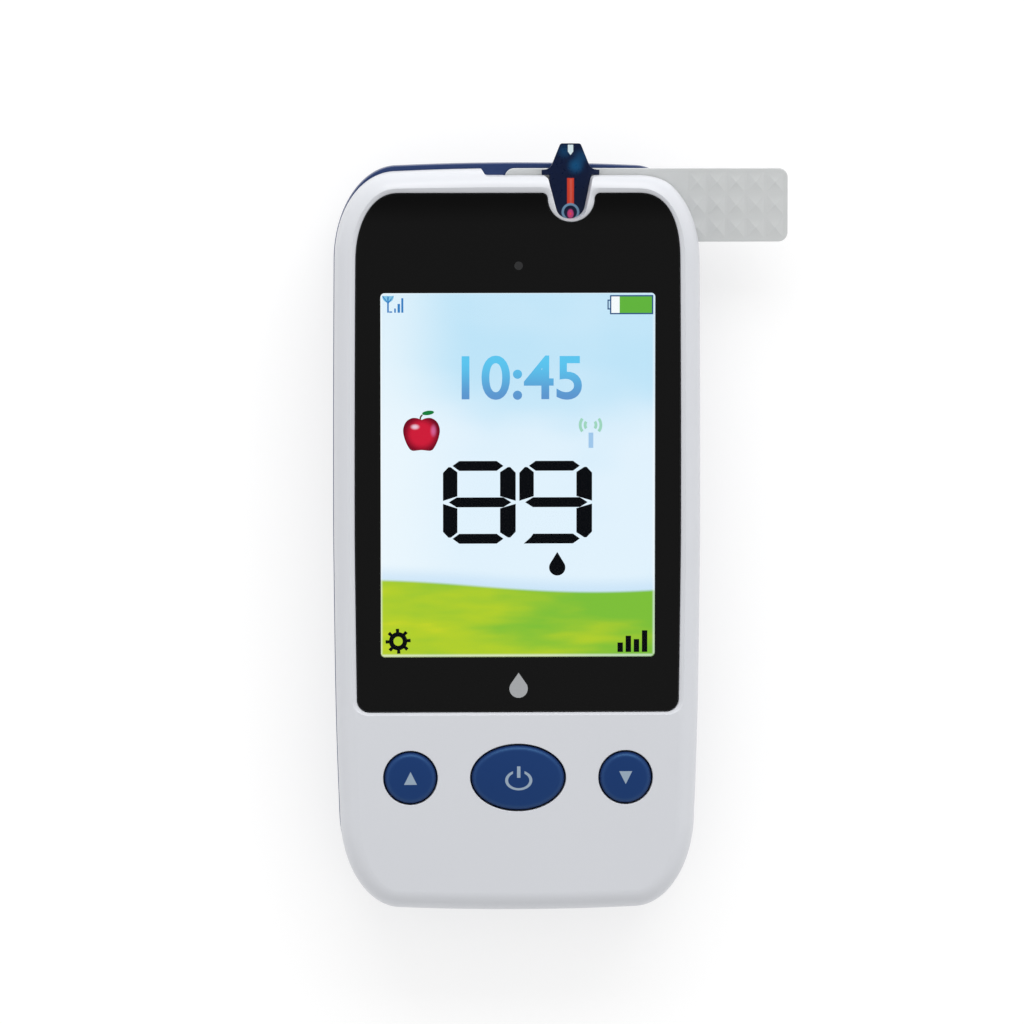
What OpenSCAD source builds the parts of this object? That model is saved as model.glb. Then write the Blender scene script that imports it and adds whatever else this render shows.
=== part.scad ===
// Hand-held blood glucose meter: two-shell case, colour display, three keys,
// strip port with a test strip in it, and a pull tab between the shells.
// The meter lies on its back: +X to the right, +Y to the strip port, +Z out of
// the display. The origin is the centre of the flat back face.

/* [Case] */
// Widest point of the case
case_w = 54.1; // [53:0.1:57]
// Length of the case from end to end
case_l = 110.2; // [108:0.1:116]
// Thickness of the case
case_h = 18; // [16.4:0.1:20]
// How far the front shell stands back from the back shell's edge
shell_reveal = 0.2; // [0:0.05:0.3]
// The same at the strip end
strip_end_reveal = 0.7; // [0.3:0.05:0.8]
// Wall thickness of both shells
wall = 1.8; // [1.4:0.1:2]
// How far the long sides bow in towards their ends
side_bow = 0.3; // [0:0.05:0.6]
// How far each side closes in from the middle to the bottom end
side_taper = 0.5; // [0:0.05:1]
// How far the two ends bow
end_bow = 0.4; // [0:0.05:0.8]
// Width of a corner at the strip end
top_corner_w = 9.4; // [8:0.1:11]
// Length of a corner at the strip end
top_corner_l = 14; // [11:0.1:15]
// Width of a corner at the bottom end
bottom_corner_w = 10.1; // [8:0.1:11]
// Length of a corner at the bottom end
bottom_corner_l = 14.1; // [11:0.1:16]
// Width of the rounding along the front edge
front_round_w = 3; // [2.5:0.1:3.4]
// Height of the rounding along the front edge
front_round_h = 3.6; // [2.8:0.1:4]
// Width of the rounding along the back edge
back_round_w = 4.3; // [3.5:0.1:5]
// Height of the rounding along the back edge
back_round_h = 4.6; // [3.5:0.1:5.5]

/* [Display lens] */
// Width of the rim between the case side and the lens
lens_rim = 3.15; // [3:0.05:3.6]
// Width of the rim between the strip end of the case and the lens
lens_top_rim = 3.7; // [3.5:0.05:4.2]
// Distance from the screen to the lens edge next to the keys
lens_chin = 8.1; // [7.5:0.1:9]
// Corner radius of the lens next to the keys
lens_corner = 1.8; // [1:0.1:3]
// Thickness of the lens
lens_t = 1.2; // [1:0.1:1.3]
// Depth of the lens face below the front face
lens_sunk = 0.8; // [0.6:0.1:1]
// Gap between the lens and its recess
lens_gap = 0.1; // [0.05:0.01:0.15]
// Width of the sloping edge round the lens recess
lens_slope = 0.75; // [0.5:0.05:0.8]

/* [Display] */
// Width of the visible screen
screen_w = 40.3; // [39:0.1:40.5]
// Length of the visible screen
screen_l = 53.6; // [50:0.1:56]
// Distance from the lens edge at the strip end to the screen
screen_drop = 14.6; // [14:0.1:16]
// Border of the display module beside the screen
bezel_w = 1.25; // [1:0.05:1.4]
// Border of the display module at the ends of the screen
bezel_l = 2.25; // [2:0.05:2.6]

/* [Keys] */
// Distance from the lens to the centres of the keys
key_drop = 9.7; // [9.2:0.1:11]
// Distance between the centres of neighbouring keys
key_x = 15.85; // [15:0.05:16.5]
// Diameter of the round keys
round_key_d = 7.6; // [7:0.1:8]
// Width of the power key
power_key_w = 13.7; // [12.5:0.1:14.2]
// Length of the power key
power_key_l = 9.6; // [9:0.1:9.8]
// Gap round each key
key_gap = 0.22; // [0.15:0.01:0.3]
// Height of the key tops above the front face
key_proud = 0.4; // [0.3:0.05:0.8]
// Travel of a key
key_travel = 0.4; // [0.3:0.05:0.45]

/* [Strip port] */
// Place of the strip port, measured from the middle of the case
port_x = 7.95; // [7:0.05:8.5]
// Radius of the lip that the port makes in the lens
port_lip_r = 3.5; // [3.4:0.05:3.8]
// Distance from the lens edge to the centre of that lip
port_lip_drop = 0.75; // [0.4:0.05:1]
// Radius of the round end of the port's channel
port_end_r = 2.3; // [2:0.05:2.5]
// Half width of the channel at the outside of the case
port_mouth = 3.3; // [3.25:0.05:3.5]
// Radius of the channel's corners at the outside of the case
port_mouth_r = 0.6; // [0.2:0.05:0.7]
// Length of the test strip
strip_l = 25.7; // [24:0.1:28]
// Width of the test strip in the port
strip_w = 6.2; // [5.6:0.1:6.3]
// Width across the wings that stop the strip
strip_wing_w = 8.5; // [8:0.1:9]
// Width of the strip's tip
strip_tip_w = 3.3; // [2.5:0.1:4]
// Length of the strip outside its wings
strip_tip_l = 3.9; // [3:0.1:5]
// Thickness of the test strip
strip_t = 0.6; // [0.4:0.05:0.7]

/* [Pull tab] */
// Length of the pull tab
tab_l = 41.8; // [38:0.1:46]
// Width of the pull tab
tab_w = 10.85; // [10:0.05:10.9]
// Thickness of the pull tab
tab_t = 0.7; // [0.5:0.05:0.75]
// Inner end of the tab, measured from the middle of the case
tab_inner_x = -1.7; // [-2.5:0.1:0]
// Distance of the tab's edge inside the end of the case
tab_inset = 0.7; // [0.65:0.05:0.9]
// Depth of the step in the front shell that shows the tab
step_depth = 1.7; // [1.5:0.05:2]
// Left end of that step, measured from the middle of the case
step_x = -4.6; // [-6:0.1:-3.6]

/* [Battery] */
// Length of the battery pack
battery_l = 42.6; // [38:0.1:46]
// Width of the door's edge on each side of the battery pack
door_edge = 1; // [0.8:0.1:2]
// Thickness of the battery door
door_t = 1.8; // [1.6:0.1:2]
// Distance from the bottom end of the case to the battery bay
bay_end = 7.2; // [7:0.1:9]

/* [Case screws] */
// Distance of the case screws from the long sides
screw_side = 5.75; // [5.5:0.05:6]
// Distance of the lower screws from the bottom end
screw_end = 11.6; // [10.5:0.1:14]
// Diameter of a screw's shank
screw_d = 1.9; // [1.6:0.1:2]
// Diameter of a screw's head
screw_head_d = 3.5; // [3:0.1:3.6]
// Depth of a screw hole's wide end
screw_sink = 3; // [2.5:0.1:3.5]

/* [Hidden] */
$fn = 48;

// Steps along each corner, side, end and rounding of the lofted shells
corner_steps = 10;
side_steps = 6;
end_steps = 4;
round_steps = 5;
// An extra length that lets a cut pass a face
over = 1;
// Gap between parts that rest or slide on each other
slip = 0.05;
// Gap between parts that only have to clear each other
clear = 0.2;

half_w = case_w / 2;
half_l = case_l / 2;
top_cy = half_l - end_bow - top_corner_l;
low_cy = -(half_l - end_bow - bottom_corner_l);
top_cx = edge_x(top_cy) - top_corner_w;
low_cx = edge_x(low_cy) - bottom_corner_w;

// Heights from the joint line down: the battery bay fills the back shell
joint_z = case_h / 2;
roof_t = 1;
roof_z = joint_z - 0.4 - roof_t;
battery_z = door_t + clear;
battery_t = roof_z - clear - battery_z;
// Heights from the joint line up: pull tab, strip, board, and the display in what is left
tab_z = joint_z + slip;
bump_h = 0.25;
slot_top_z = tab_z + tab_t + bump_h + 0.1;
strip_z = slot_top_z + 0.3;
board_t = 1;
board_z = strip_z + strip_t + 0.4;
board_top_z = board_z + board_t;
front_wall_z = case_h - wall;
lens_z = case_h - lens_sunk - lens_t;
ledge_t = 1.2;
ledge_z = lens_z - ledge_t;
gasket_t = 0.5;
module_z = board_top_z + 0.1;
module_t = lens_z - gasket_t - module_z;

// How much further the front shell stands back at the strip end
front_shift = strip_end_reveal - shell_reveal;

// The strip port
lens_top_y = top_cy + top_corner_l - lens_top_rim;
port_lip_y = lens_top_y - port_lip_drop;
port_end_y = port_lip_y - 0.55;
port_fillet = 0.8;
step_y = half_l - step_depth;

// The screen hangs from the lens edge, and the lens and the keys from the screen
screen_y = lens_top_y - screen_drop - screen_l / 2;
lens_low_y = screen_y - screen_l / 2 - lens_chin;
key_y = lens_low_y - key_drop;
module_w = screen_w + 2 * bezel_w;
module_l = screen_l + 2 * bezel_l;
module_y = screen_y - 0.5;
panel_w = screen_w + 1.2;
panel_l = screen_l + 1.4;
frame_floor = 1.6;
panel_drop = module_t - frame_floor;

// The pull tab
tab_top_y = half_l - tab_inset;
tab_y = tab_top_y - tab_w / 2;
tab_x = tab_inner_x + tab_l / 2;
slot_low_y = tab_top_y - tab_w - 0.15;
bump_columns = 5;
bump_rows = 3;
bump_pitch_x = 2.87;
bump_pitch_y = 3.35;

// The four case screws, the upper ones just below the tab's slot
boss_r = 2.2;
pilot_gap = 0.03;
pilot_l = 5;
screw_x = half_w - screw_side;
screw_top_y = slot_low_y - 0.3 - boss_r;
screw_low_y = screw_end - half_l;
screw_places = [for (x = [-1, 1]) for (y = [screw_low_y, screw_top_y]) [x * screw_x, y]];
sink_r = screw_head_d / 2 + 0.15;

// The battery bay and its door
bay_wall = 1.2;
rail = 0.8;
rail_z = 0.8;
rail_t = 0.6;
door_w = 2 * (screw_x - sink_r - 1.1 - rail);
battery_w = door_w - 2 * door_edge;
bay_w = battery_w + 2 * clear;
bay_l = battery_l + 2 * clear;
bay_top_y = bay_end - half_l + bay_l;
bay_y = bay_top_y - bay_l / 2;
door_top_y = bay_top_y + 1.5;

// Half the width of the case at a distance y from its centre
function edge_x(y) = half_w - side_bow * pow(y / half_l, 2) - side_taper * max(-y, 0) / half_l;

// Points along a quarter of an ellipse
function corner(cx, cy, rx, ry, from, n = corner_steps) =
  [for (i = [0:n]) let (t = from + 90 * i / n) [cx + rx * cos(t), cy + ry * sin(t)]];

// Points along a side of the case, moved in by inset, without its two ends
function side(from, to, inset, sign) =
  [for (i = [1:side_steps - 1]) let (y = from + (to - from) * i / side_steps)
    [sign * (edge_x(y) - inset), y]];

// Points along an end of the case, moved in by inset, without its two ends
function end(cx, inset, sign) =
  [for (i = [1:end_steps - 1]) let (x = sign * cx * (1 - 2 * i / end_steps))
    [x, sign * (half_l - end_bow * pow(x / cx, 2) - inset)]];

// Outline of the case, moved in by inset, and by end_shift more at the strip end
function case_outline(inset, end_shift = 0) =
  let (tw = top_corner_w - inset, tl = top_corner_l - inset - end_shift,
       bw = bottom_corner_w - inset, bl = bottom_corner_l - inset)
  concat(side(low_cy, top_cy, inset, 1), corner(top_cx, top_cy, tw, tl, 0),
         end(top_cx, inset + end_shift, 1), corner(-top_cx, top_cy, tw, tl, 90),
         side(top_cy, low_cy, inset, -1), corner(-low_cx, low_cy, bw, bl, 180),
         end(low_cx, inset, -1), corner(low_cx, low_cy, bw, bl, 270));

// One side of the round corner between the lens edge and the port's lip
function lip_fillet(grow, sign) =
  let (r = port_fillet + grow, rise = port_lip_drop - port_fillet,
       run = sqrt(pow(port_lip_r + port_fillet, 2) - rise * rise),
       last = atan2(-rise, -run), sweep = (last < 0 ? last + 360 : last) - 90)
  [for (i = [0:4]) let (t = 90 + sweep * i / 4)
    [port_x + sign * (run + r * cos(t)), lens_top_y - port_fillet + r * sin(t)]];

// The port's lip, from right to left under the channel
function lip_arc(grow) =
  let (rise = port_lip_drop - port_fillet,
       run = sqrt(pow(port_lip_r + port_fillet, 2) - rise * rise), first = atan2(rise, run))
  [for (i = [1:15]) let (t = first - (180 + 2 * first) * i / 16)
    [port_x + (port_lip_r - grow) * cos(t), port_lip_y + (port_lip_r - grow) * sin(t)]];

function reversed(points) = [for (i = [len(points) - 1:-1:0]) points[i]];

// Outline of the lens with the port's notch in it, moved out by grow
function lens_outline(grow) =
  let (y0 = lens_low_y + lens_corner, x0 = edge_x(y0) - lens_rim - lens_corner,
       r = lens_corner + grow, rim = lens_rim - grow,
       tw = top_corner_w - rim, tl = top_corner_l - lens_top_rim + grow)
  concat(side(y0, top_cy, rim, 1), corner(top_cx, top_cy, tw, tl, 0),
         lip_fillet(grow, 1), lip_arc(grow), reversed(lip_fillet(grow, -1)),
         corner(-top_cx, top_cy, tw, tl, 90), side(top_cy, y0, rim, -1),
         corner(-x0, y0, r, r, 180, 5), corner(x0, y0, r, r, 270, 5));

// The channel of the strip port: a round end that opens towards the outside
function port_outline() =
  let (r = port_mouth_r, wide = port_mouth + r, rise = step_y - r - port_end_y,
       angle = atan2(rise, port_mouth),
       touch = angle - acos(port_end_r / norm([port_mouth, rise])))
  concat([for (i = [0:12]) let (t = 180 - touch + (180 + 2 * touch) * i / 12)
           [port_end_r * cos(t), port_end_y + port_end_r * sin(t)]],
         reversed(corner(wide, step_y - r, r, r, 90, 4)),
         [[wide, half_l + over], [-wide, half_l + over]],
         reversed(corner(-wide, step_y - r, r, r, 0, 4)));

// Front shell from the joint line up, as [inset, height]
front_profile = concat(
  [[shell_reveal, joint_z]],
  [for (i = [0:round_steps]) let (t = 90 * i / round_steps)
    [shell_reveal + front_round_w * (1 - cos(t)), case_h - front_round_h * (1 - sin(t))]]);
front_cavity = concat(
  [[shell_reveal + wall, joint_z - over]],
  [for (i = [0:3]) let (t = 30 * i)
    [shell_reveal + front_round_w - (front_round_w - wall) * cos(t),
     case_h - front_round_h + (front_round_h - wall) * sin(t)]]);
// Back shell from the back face up, as [inset, height]
back_profile = concat(
  [for (i = [0:round_steps]) let (t = 90 * i / round_steps)
    [back_round_w * (1 - sin(t)), back_round_h * (1 - cos(t))]],
  [[0, joint_z]]);
back_cavity = concat(
  [for (i = [0:3]) let (t = 30 * i)
    [back_round_w - (back_round_w - wall) * sin(t),
     back_round_h - (back_round_h - wall) * cos(t)]],
  [[wall, joint_z + over]]);

// A solid through a stack of outlines with equal numbers of points
module skin(outlines, heights) {
  n = len(outlines[0]);
  m = len(outlines);
  walls = [for (j = [0:m - 2]) for (i = [0:n - 1])
    [j * n + i, (j + 1) * n + i, (j + 1) * n + (i + 1) % n, j * n + (i + 1) % n]];
  polyhedron(
    points = [for (j = [0:m - 1]) for (p = outlines[j]) [p.x, p.y, heights[j]]],
    faces = concat([[for (i = [0:n - 1]) i]], walls,
                   [[for (i = [n - 1:-1:0]) (m - 1) * n + i]]));
}

// A solid that follows the case's outline through a profile of [inset, height]
module loft(profile, end_shift = 0)
  skin([for (p = profile) case_outline(p[0], end_shift)], [for (p = profile) p[1]]);

// A box from one corner to the opposite one
module box(low, high) translate(low) cube(high - low);

// A plate with rounded corners, centred on x and y
module plate(w, l, r, low, high)
  translate([0, 0, low]) linear_extrude(high - low) rounded(w, l, r);

// A flat rectangle with rounded corners
module rounded(w, l, r) {
  square([w - 2 * r, l], center = true);
  square([w, l - 2 * r], center = true);
  for (x = [-1, 1]) for (y = [-1, 1])
    translate([x * (w / 2 - r), y * (l / 2 - r)]) circle(r);
}

// The keys
flange_t = 0.8;
flange_w = 0.8;
flange_z = front_wall_z - 0.1 - flange_t;
key_edge = 0.6;
stem_r = 1.6;
dome_h = key_travel + 0.1;
dome_r = 2.5;
stem_z = board_top_z + dome_h + slip;

// The strip and its connector
stop_y = step_y + slip;
wing_l = 0.75;
strip_tip_y = stop_y + wing_l + strip_tip_l;
strip_end_y = strip_tip_y - strip_l;
connector_l = 10.3;
connector_w = strip_w + 3;
connector_z = strip_z - 0.9;
track_pitch = 1.1;
groove_w = 0.7;
spring_w = 0.5;
spring_gap = 0.04;

// The two screws that hold the board
board_screw_x = 9;
board_screw_y = lens_low_y - 2;
board_screw_r = 0.7;
board_screw_l = front_wall_z - board_top_z - 0.6;

// The backup cell under the pull tab
cell_x = port_x + 2.2;
cell_y = half_l - 10.1;
cell_r = 6.25;
cell_t = 2;
cell_z = joint_z - 0.1 - cell_t;

// The charging socket in the bottom end
usb_w = 7.8;
usb_l = 5.1;
usb_t = 2.6;
usb_y = wall - half_l;

// The light sensor above the screen
sensor_x = 0.1;
sensor_y = module_y + module_l / 2 + 2.25;
sensor_t = 0.8;
pipe_r = 0.9;
pipe_flange_t = 0.5;

// Parts under the board: width, length, height and the middle of each
modem_size = [22, 18, 2.2];
modem_place = [8.5 - top_cx, bay_top_y + 15];
sim_size = [15, 12, 0.76];
sim_place = [top_cx - 4.5, bay_top_y + 12.9];
holder_t = 1.5;
processor_size = [8, 8, 0.9];
processor_place = [-4.4, strip_end_y + 2.4];
buzzer_r = 4.5;
buzzer_t = 2.6;
buzzer_place = [3.5 - top_cx, top_cy - 5.6];
sound_hole_r = 0.6;
sound_pitch = 2.2;
antenna_size = [15, 4, 1.6];
antenna_place = [7 - top_cx, cell_y - 1.8];
flex_w = 14;
flex_t = 0.3;
flex_land = 2;
// Length of the notches that pass the case screws' bosses
board_notch = 4;

// The battery contacts: a block on the board and three blades
contact_w = 10;
contact_l = 3.9;
blade_w = 1;
blade_pitch = 3.2;
blade_low_z = battery_z + 2.4;
blade_high_z = battery_z + 3.8;
window_margin = 0.5;

// The opening for the charging plug in both shells
module usb_opening()
  box([-usb_w / 2 - 0.5, -half_l - over, board_z - usb_t - 0.4],
      [usb_w / 2 + 0.5, -half_l + 2 * wall, board_z + 0.2]);

// The recess of the lens with its sloping edge
module lens_recess() {
  translate([0, 0, lens_z]) linear_extrude(case_h) polygon(lens_outline(lens_gap));
  wide = lens_outline(lens_gap + lens_slope);
  skin([lens_outline(lens_gap), wide, wide], [case_h - lens_sunk, case_h, case_h + over]);
}

// What the step takes off the front shell where the tab and the strip come out
module step_cut()
  translate([0, 0, joint_z - over]) linear_extrude(case_h) polygon(concat(
    [[step_x - 0.6, half_l + over], [step_x - 0.6, half_l - 0.7], [step_x - 0.4, half_l - 1.1],
     [step_x, step_y + 0.15], [step_x + 0.4, step_y]],
    reversed(corner(top_cx, top_cy, top_corner_w, step_y - top_cy, 0)),
    [[half_w + over, top_cy], [half_w + over, half_l + over]]));

// Hole or solid of the shape of the power key
module power_oval(grow, low, high)
  translate([0, key_y, low])
    scale([power_key_w / 2 + grow, power_key_l / 2 + grow, 1]) cylinder(r = 1, h = high - low);

module front_shell() {
  color("whitesmoke") difference() {
    union() {
      difference() {
        loft(front_profile, front_shift);
        difference() {
          loft(front_cavity, front_shift);
          box([step_x - 1, step_y - wall, 0], [half_w + over, half_l + over, case_h]);
        }
      }
      // ledge under the lens
      translate([0, 0, ledge_z]) linear_extrude(front_wall_z + 0.3 - ledge_z)
        polygon(lens_outline(wall - 0.2));
      // walls of the port
      translate([port_x, 0, strip_z + strip_t + clear])
        linear_extrude(lens_z - strip_z - strip_t) union() {
          translate([0, port_lip_y]) circle(port_lip_r - 0.1);
          polygon([[-port_lip_r + 0.1, port_lip_y], [port_lip_r - 0.1, port_lip_y],
                   [port_mouth + 1, step_y - 0.3], [-port_mouth - 1, step_y - 0.3]]);
        }
      for (p = screw_places)
        translate([p.x, p.y, joint_z])
          cylinder(r = boss_r, h = (p.y > 0 ? ledge_z : front_wall_z) + 0.1 - joint_z);
      for (x = [-1, 1])
        translate([x * board_screw_x, board_screw_y, board_top_z])
          cylinder(r = 2.4 * board_screw_r, h = front_wall_z + 0.1 - board_top_z);
    }
    lens_recess();
    translate([0, module_y])
      plate(module_w + 2 * clear, module_l + 2 * clear, 1, ledge_z - over, lens_z + 0.1);
    translate([port_x, 0, joint_z - over]) linear_extrude(case_h) polygon(port_outline());
    box([port_x - strip_w / 2 - 0.15, port_end_y - 5, strip_z - 0.15],
        [port_x + strip_w / 2 + 0.15, half_l + over, strip_z + strip_t + clear]);
    step_cut();
    box([tab_inner_x - clear, slot_low_y, joint_z - over],
        [half_w + over, half_l + over, slot_top_z]);
    for (x = [-1, 1])
      translate([x * key_x, key_y, front_wall_z - over])
        cylinder(r = round_key_d / 2 + key_gap, h = wall + 2 * over);
    power_oval(key_gap, front_wall_z - over, case_h + over);
    translate([sensor_x, sensor_y, ledge_z - over]) cylinder(r = pipe_r + slip, h = 2 * ledge_t);
    for (p = screw_places)
      translate([p.x, p.y, joint_z - over]) cylinder(r = screw_d / 2 + pilot_gap, h = pilot_l + over);
    for (x = [-1, 1])
      translate([x * board_screw_x, board_screw_y, board_top_z - over])
        cylinder(r = board_screw_r + pilot_gap, h = board_screw_l + over);
    usb_opening();
  }
}

module back_shell() {
  color("midnightblue") difference() {
    union() {
      difference() {
        loft(back_profile);
        loft(back_cavity);
      }
      // thicker floor round the battery door
      intersection() {
        loft(back_profile);
        box([-door_w / 2 - rail - wall, -half_l, 0],
            [door_w / 2 + rail + wall, door_top_y + wall, battery_z + 1]);
      }
      // battery bay
      box([-bay_w / 2 - bay_wall, bay_top_y - bay_l - bay_wall, 1],
          [bay_w / 2 + bay_wall, bay_top_y + bay_wall, roof_z + roof_t]);
      for (p = screw_places)
        translate([p.x, p.y, 1]) cylinder(r = boss_r + 0.4, h = joint_z - 1);
      // seat of the backup cell
      translate([cell_x, cell_y, 1]) cylinder(r = cell_r + 0.9, h = joint_z - 0.1 - 1);
    }
    box([-bay_w / 2, bay_top_y - bay_l, -over], [bay_w / 2, bay_top_y, roof_z]);
    box([-door_w / 2 - 2 * slip, -half_l - over, -over],
        [door_w / 2 + 2 * slip, door_top_y + clear, battery_z]);
    box([-door_w / 2 - rail - 3 * slip, -half_l - over, rail_z - 2 * slip],
        [door_w / 2 + rail + 3 * slip, door_top_y + clear, rail_z + rail_t + 2 * slip]);
    // window for the battery contacts
    box([-contact_w / 2 - window_margin, bay_top_y - over, blade_low_z - window_margin],
        [contact_w / 2 + window_margin, bay_top_y + 2 * bay_wall, blade_high_z + window_margin]);
    for (p = screw_places) translate([p.x, p.y, -over]) {
      cylinder(r = sink_r, h = screw_sink + over);
      cylinder(r = screw_d / 2 + 0.15, h = case_h);
    }
    translate([cell_x, cell_y, cell_z]) cylinder(r = cell_r + 0.1, h = case_h);
    // sound holes under the buzzer
    translate([buzzer_place.x, buzzer_place.y, -over]) {
      cylinder(r = sound_hole_r, h = wall + 2 * over, $fn = 24);
      for (a = [0:60:300]) rotate(a) translate([sound_pitch, 0])
        cylinder(r = sound_hole_r, h = wall + 2 * over, $fn = 24);
    }
    usb_opening();
  }
}

module battery_door() {
  color("midnightblue") difference() {
    union() {
      intersection() {
        loft(back_profile);
        box([-door_w / 2, -half_l - over, -over], [door_w / 2, door_top_y, door_t]);
      }
      // tongues along both sides
      box([-door_w / 2 - rail, -half_l + 5, rail_z],
          [door_w / 2 + rail, door_top_y - over, rail_z + rail_t]);
    }
    // grip grooves
    for (i = [0:4]) translate([0, -half_l + 13 + 1.8 * i])
      plate(14 + 2 * i, 0.9, 0.4, -over, 0.45);
  }
}

module battery_pack()
  color("dimgray") translate([0, bay_y])
    plate(battery_w, battery_l, 1.5, battery_z, battery_z + battery_t);

module display_lens()
  color("black") translate([0, 0, lens_z]) linear_extrude(lens_t) polygon(lens_outline(0));

module lens_gasket()
  color("darkslategray") difference() {
    translate([0, module_y])
      plate(module_w - 0.4, module_l - 0.4, 1, lens_z - gasket_t, lens_z);
    translate([0, screen_y])
      plate(screen_w + 0.4, screen_l + 0.4, 0.6, lens_z - gasket_t - over, lens_z + over);
  }

module display_frame()
  color("silver") difference() {
    translate([0, module_y]) plate(module_w, module_l, 0.8, module_z, module_z + module_t);
    translate([0, screen_y])
      plate(panel_w + 0.1, panel_l + 0.1, 0.4, module_z + module_t - panel_drop, lens_z);
  }

module display_panel()
  color("lightskyblue") translate([0, screen_y])
    plate(panel_w, panel_l, 0.4, module_z + module_t - panel_drop, module_z + module_t - 0.1);

// The display's flexible cable, folded down to the board
module display_flex() {
  top = board_top_z + 4 * flex_t;
  end = module_y - module_l / 2;
  r = (top - board_top_z) / 2;
  color("orange") rotate([90, 0, 90]) translate([0, 0, -flex_w / 2]) linear_extrude(flex_w) {
    translate([end - flex_land, top - flex_t]) square([flex_land, flex_t]);
    translate([end - flex_land, board_top_z]) square([flex_land - 0.1, flex_t]);
    translate([end - flex_land, board_top_z + r]) difference() {
      circle(r);
      circle(r - flex_t);
      translate([0, -r]) square(2 * r);
    }
  }
}

// A round key of radius r: stem, flange and a cap with a rounded edge
module key_body(r, crown)
  rotate_extrude() polygon(concat(
    [[0, stem_z], [stem_r, stem_z], [stem_r, flange_z], [r + flange_w, flange_z],
     [r + flange_w, flange_z + flange_t], [r, flange_z + flange_t]],
    corner(r - key_edge, case_h + key_proud - crown - key_edge, key_edge, key_edge, 0, 5),
    [[r / 2, case_h + key_proud - crown / 4], [0, case_h + key_proud]]));

module up_button()
  color("royalblue") translate([-key_x, key_y]) key_body(round_key_d / 2, 0.15);

module down_button()
  color("royalblue") translate([key_x, key_y]) key_body(round_key_d / 2, 0.15);

// Outline of the power key, grown by grow
function oval(grow, n = 40) =
  [for (i = [0:n - 1]) let (t = 360 * i / n)
    [(power_key_w / 2 + grow) * cos(t), key_y + (power_key_l / 2 + grow) * sin(t)]];

module power_button() {
  crown = 0.2;
  edge = [for (i = [0:round_steps]) 90 * i / round_steps];
  top = case_h + key_proud - crown;
  color("royalblue") union() {
    translate([0, key_y, stem_z]) cylinder(r = 1.5 * stem_r, h = flange_z - stem_z + slip);
    translate([0, 0, flange_z]) linear_extrude(flange_t) polygon(oval(flange_w));
    skin(concat([oval(0)], [for (t = edge) oval(-key_edge * (1 - cos(t)))],
                [oval(-power_key_l / 4), oval(0.5 - power_key_l / 2)]),
         concat([flange_z], [for (t = edge) top - key_edge * (1 - sin(t))],
                [top + crown * 0.7, top + crown]));
  }
}

// A snap dome that clicks and springs back under a key
module snap_dome(x)
  color("gold") translate([x, key_y, board_top_z]) rotate_extrude() polygon(
    [[0, dome_h - 0.1], [1, dome_h - 0.1], [1.7, dome_h - 0.25], [dome_r - 0.15, 0],
     [dome_r, 0], [dome_r, 0.1], [1.8, dome_h - 0.15], [1.05, dome_h], [0, dome_h]]);

module up_dome() snap_dome(-key_x);
module power_dome() snap_dome(0);
module down_dome() snap_dome(key_x);

module main_board()
  color("darkgreen") difference() {
    intersection() {
      translate([0, 0, board_z]) linear_extrude(board_t)
        polygon(case_outline(wall + shell_reveal + 0.5));
      box([-half_w, -half_l, board_z - over],
          [half_w, port_lip_y - port_lip_r - 1.2, board_top_z + over]);
    }
    for (p = screw_places) translate([p.x, p.y, board_z - over]) {
      cylinder(r = boss_r + 0.3, h = board_t + 2 * over);
      translate([p.x > 0 ? 0 : -boss_r - board_notch, -boss_r - 0.3])
        cube([boss_r + board_notch, 2 * boss_r + 0.6, board_t + 2 * over]);
    }
    for (x = [-1, 1]) translate([x * board_screw_x, board_screw_y, board_z - over])
      cylinder(r = board_screw_r + clear, h = board_t + 2 * over);
  }

module strip_connector()
  color("dimgray") difference() {
    box([port_x - connector_w / 2, strip_end_y - 1, connector_z],
        [port_x + connector_w / 2, strip_end_y - 1 + connector_l, board_z]);
    box([port_x - strip_w / 2 - 0.1, strip_end_y - 0.1, strip_z - slip],
        [port_x + strip_w / 2 + 0.1, half_l, strip_z + strip_t + slip]);
    // grooves of the contacts
    for (i = [-2:2]) translate([port_x + track_pitch * i, 0, 0])
      box([-groove_w / 2, strip_end_y + 1, strip_z], [groove_w / 2, half_l, board_z + over]);
  }

// Five springs that touch the strip's tracks
module strip_contacts() {
  low = strip_z + strip_t + spring_gap;
  high = board_z - 0.15;
  color("gold") for (i = [-2:2]) translate([port_x + track_pitch * i, strip_end_y, 0])
    rotate([90, 0, 90]) translate([0, 0, -spring_w / 2]) linear_extrude(spring_w)
      polygon([[1.3, high], [3, low], [3.8, low], [5.5, high], [8.5, high],
               [8.5, board_z], [1.3, board_z]]);
}

// Right half of the strip's outline, from its inner end to its tip
function strip_side() =
  let (half = strip_w / 2, wing = strip_wing_w / 2, tip = strip_tip_w / 2,
       flare = 1.35, y = stop_y + wing_l)
  concat([[half - 0.5, strip_end_y], [half, strip_end_y + 0.5], [half, stop_y], [wing, stop_y]],
         [for (i = [0:5]) let (t = 270 - 16 * i) [wing + flare * cos(t), y + flare * (1 + sin(t))]],
         corner(tip - 0.3, strip_tip_y - 0.35, 0.35, 0.35, 15, 4));

module test_strip()
  color("midnightblue") translate([port_x, 0, strip_z]) linear_extrude(strip_t)
    polygon(concat(strip_side(), reversed([for (p = strip_side()) [-p.x, p.y]])));

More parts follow.
